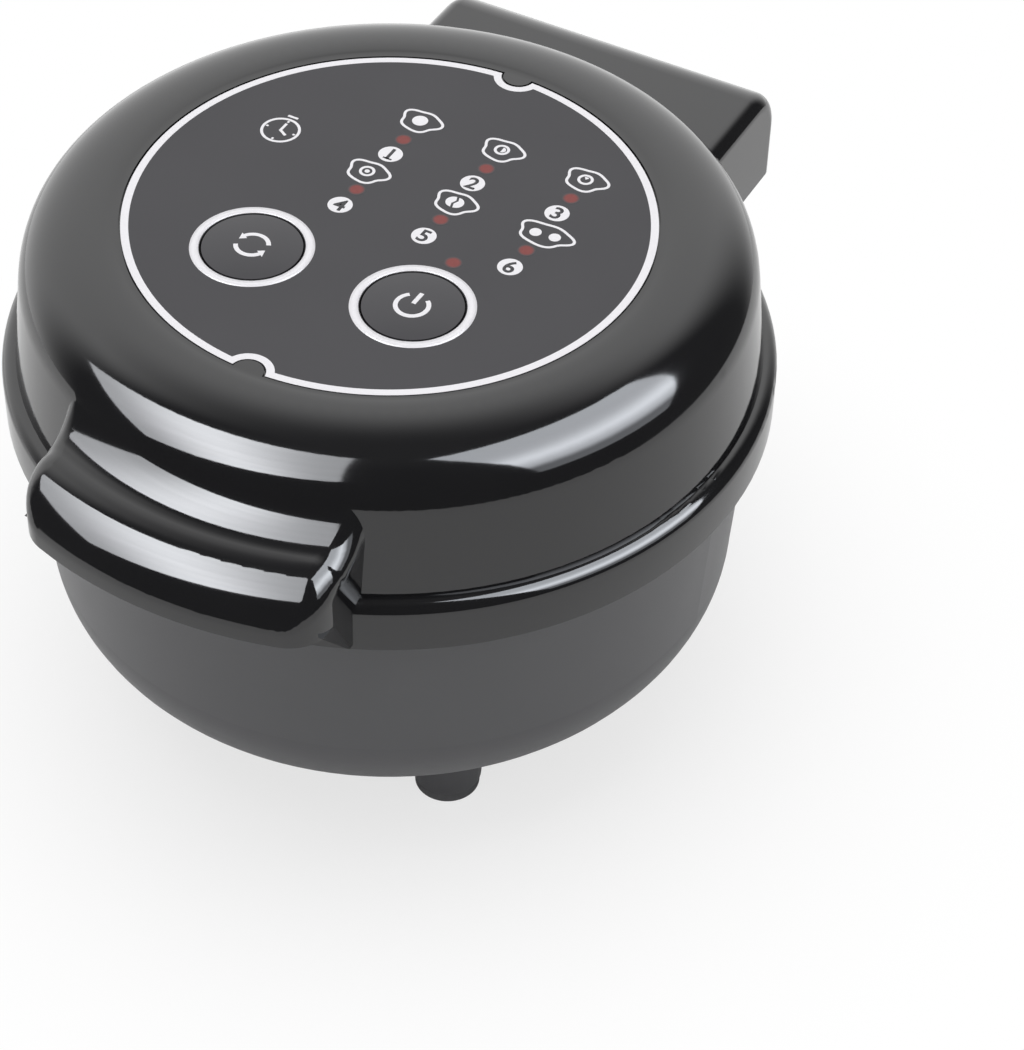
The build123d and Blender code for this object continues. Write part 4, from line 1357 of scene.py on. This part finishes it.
@dataclass
class Studio:
    """White floor, white surroundings and soft lamps, in metres."""

    floor_radius: float = 0.32
    floor_sides: int = 96
    floor_drop: float = 0.0002
    floor_tones: Point = (0.92, 0.94)
    floor_grain: float = 0.004
    blend: Point = (0.05, 0.135)  # distance from the object at which the floor begins to fade, and is white
    veil: float = 0.70  # share of plain white in what the camera sees of the floor's middle
    fill_radiance: float = 1.8
    fill_size: float = 1.0
    fill_place: Place = (-0.1, -0.15, 1.25)
    surround: float = 0.72
    glow_heading: Point = (-0.669, 0.743)
    glow: float = 1.35
    glow_height: float = 0.30
    glow_edge: Point = (0.3, 0.8)
    zenith_edge: Point = (0.75, 1.0)
    dim: float = 0.065
    zenith: float = 0.12
    cards: tuple[Softbox, ...] = (
        Softbox(
            "softbox_right", (0.7506, 0.0773, 0.6563), (-0.058, 0.997, -0.051), 1.06, 1.50, 13.0, turn=-0.1,
            hot_up=0.47, floor_share=0.55, sharpness=4.5, low_edge=0.30, tint=(0.90, 0.94, 1.0),
        ),
        Softbox(
            "softbox_front", (-0.362, -0.694, 0.646), (0.916, -0.035, 0.399), 1.45, 1.08, 16.0,
            hot_side=0.55, streaks=0.26,
        ),
    )

    def floor(self) -> None:
        """A round floor that keeps the shadow and fades to white away from the object."""
        bm = bmesh.new()
        bmesh.ops.create_circle(bm, cap_ends=True, segments=self.floor_sides, radius=self.floor_radius)
        bmesh.ops.translate(bm, verts=bm.verts, vec=(0, 0, -self.floor_drop))
        mesh = bpy.data.meshes.new("floor")
        bm.to_mesh(mesh)
        bm.free()
        finish = bpy.data.materials.new("floor_white")
        finish.use_nodes = True
        graph = Graph(finish.node_tree)
        where = graph.place()
        dark, light = ((tone,) * 3 for tone in self.floor_tones)
        tone = graph.blend(graph.noise(where, self.floor_grain), dark, light)
        card = graph.out("ShaderNodeBsdfDiffuse", None, {"Color": tone})
        white = graph.out("ShaderNodeEmission", None, {"Color": WHITE, "Strength": 1.0})
        seen = graph.out("ShaderNodeLightPath", output="Is Camera Ray")
        reach = graph.vector_maths("LENGTH", "Value", where)
        share = (reach.ease(*self.blend) * (1.0 - self.veil) + self.veil) * seen
        mixed = graph.out("ShaderNodeMixShader", None, {0: share, 1: card, 2: white})
        graph.node("ShaderNodeOutputMaterial", None, {"Surface": mixed})
        mesh.materials.append(finish)
        floor = place_object("floor", mesh)

    def sky(self) -> None:
        """White to the camera, a bright backdrop with a dark front to reflections, even light to the rest."""
        world = bpy.data.worlds.new("studio")
        bpy.context.scene.world = world
        world.use_nodes = True
        graph = Graph(world.node_tree)
        heading = graph.out("ShaderNodeTexCoord", output="Generated")
        level = graph.vector_maths("MULTIPLY", "Vector", heading, (1, 1, 0))
        level = graph.vector_maths("NORMALIZE", "Vector", level)
        facing = graph.vector_maths("DOT_PRODUCT", "Value", level, (*self.glow_heading, 0))
        height = graph.out("ShaderNodeSeparateXYZ", None, {0: heading}, "Z")
        low = ((1.0 - height) / self.glow_height).ease(0.0, 1.0)
        backdrop = facing.ease(*self.glow_edge) * low * self.glow
        shown = backdrop + self.dim + height.ease(*self.zenith_edge) * (self.zenith - self.dim)
        path = graph.node("ShaderNodeLightPath")
        camera, glossy = (Signal(graph, path.outputs[f"Is {kind} Ray"]) for kind in ("Camera", "Glossy"))
        strength = camera + (1.0 - camera) * (glossy * shown + (1.0 - glossy) * self.surround)
        light = graph.out("ShaderNodeBackground", None, {"Color": WHITE, "Strength": strength})
        graph.node("ShaderNodeOutputWorld", None, {"Surface": light})

    def fill(self) -> None:
        """A soft lamp overhead that lights but shows in no reflection."""
        lamp = bpy.data.lights.new("overhead", "AREA")
        lamp.shape = "SQUARE"
        lamp.size = self.fill_size
        lamp.energy = self.fill_radiance * math.pi * self.fill_size**2
        holder = place_object("overhead", lamp)
        holder.location = self.fill_place
        holder.rotation_euler = (-Vector(self.fill_place)).to_track_quat("-Z", "Y").to_euler()
        holder.visible_glossy = False

    def build(self) -> None:
        """Set the whole studio up."""
        self.floor()
        self.sky()
        self.fill()
        for card in self.cards:
            card.build()
        bpy.context.scene.view_settings.view_transform = "Standard"


@dataclass
class PhotoCamera:
    """The camera that took the photograph, recovered from the round print and the lid's symmetry."""

    azimuth: float = 30.15
    elevation: float = 38.50
    roll: float = -0.24
    distance: float = 0.5254
    focal_pixels: float = 3096.0
    target: Place = (0.0, 0.0, 0.1012)
    target_pixel: Point = (390.4, 216.1)
    sensor: float = 36.0
    clip: Point = (0.01, 20.0)

    def build(self) -> None:
        """Place the camera so that the target falls on its pixel."""
        a, e, r = (math.radians(v) for v in (self.azimuth, self.elevation, self.roll))
        back = Vector((math.sin(a) * math.cos(e), -math.cos(a) * math.cos(e), math.sin(e)))
        right = Vector((math.cos(a), math.sin(a), 0.0))
        looking = Matrix((right, back.cross(right), back))
        u = (self.target_pixel[0] - PICTURE_WIDTH / 2) / self.focal_pixels
        v = -(self.target_pixel[1] - PICTURE_HEIGHT / 2) / self.focal_pixels
        swing = Vector((0, 0, -1)).rotation_difference(Vector((u, v, -1)).normalized()).to_matrix()
        roll = Matrix(((math.cos(r), math.sin(r), 0), (-math.sin(r), math.cos(r), 0), (0, 0, 1)))
        turned = (swing @ roll @ looking).transposed()
        lens = bpy.data.cameras.new("photo_camera")
        lens.sensor_width = self.sensor
        lens.lens = self.focal_pixels * self.sensor / max(PICTURE_WIDTH, PICTURE_HEIGHT)
        lens.clip_start, lens.clip_end = self.clip
        holder = place_object("photo_camera", lens)
        holder.matrix_world = Matrix.Translation(Vector(self.target) + back * self.distance) @ turned.to_4x4()
        bpy.context.scene.camera = holder


def main() -> None:
    """Build the looks in order."""
    logging.basicConfig(level=logging.INFO, format="%(name)s: %(message)s")
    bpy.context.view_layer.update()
    for kind in (PhotoCamera, Studio, BaseAssembly, Inside, LidAssembly, ControlPanel, PushButtons):
        log.info("building %s", kind.__name__)
        kind().build()


if __name__ == "__main__":
    main()
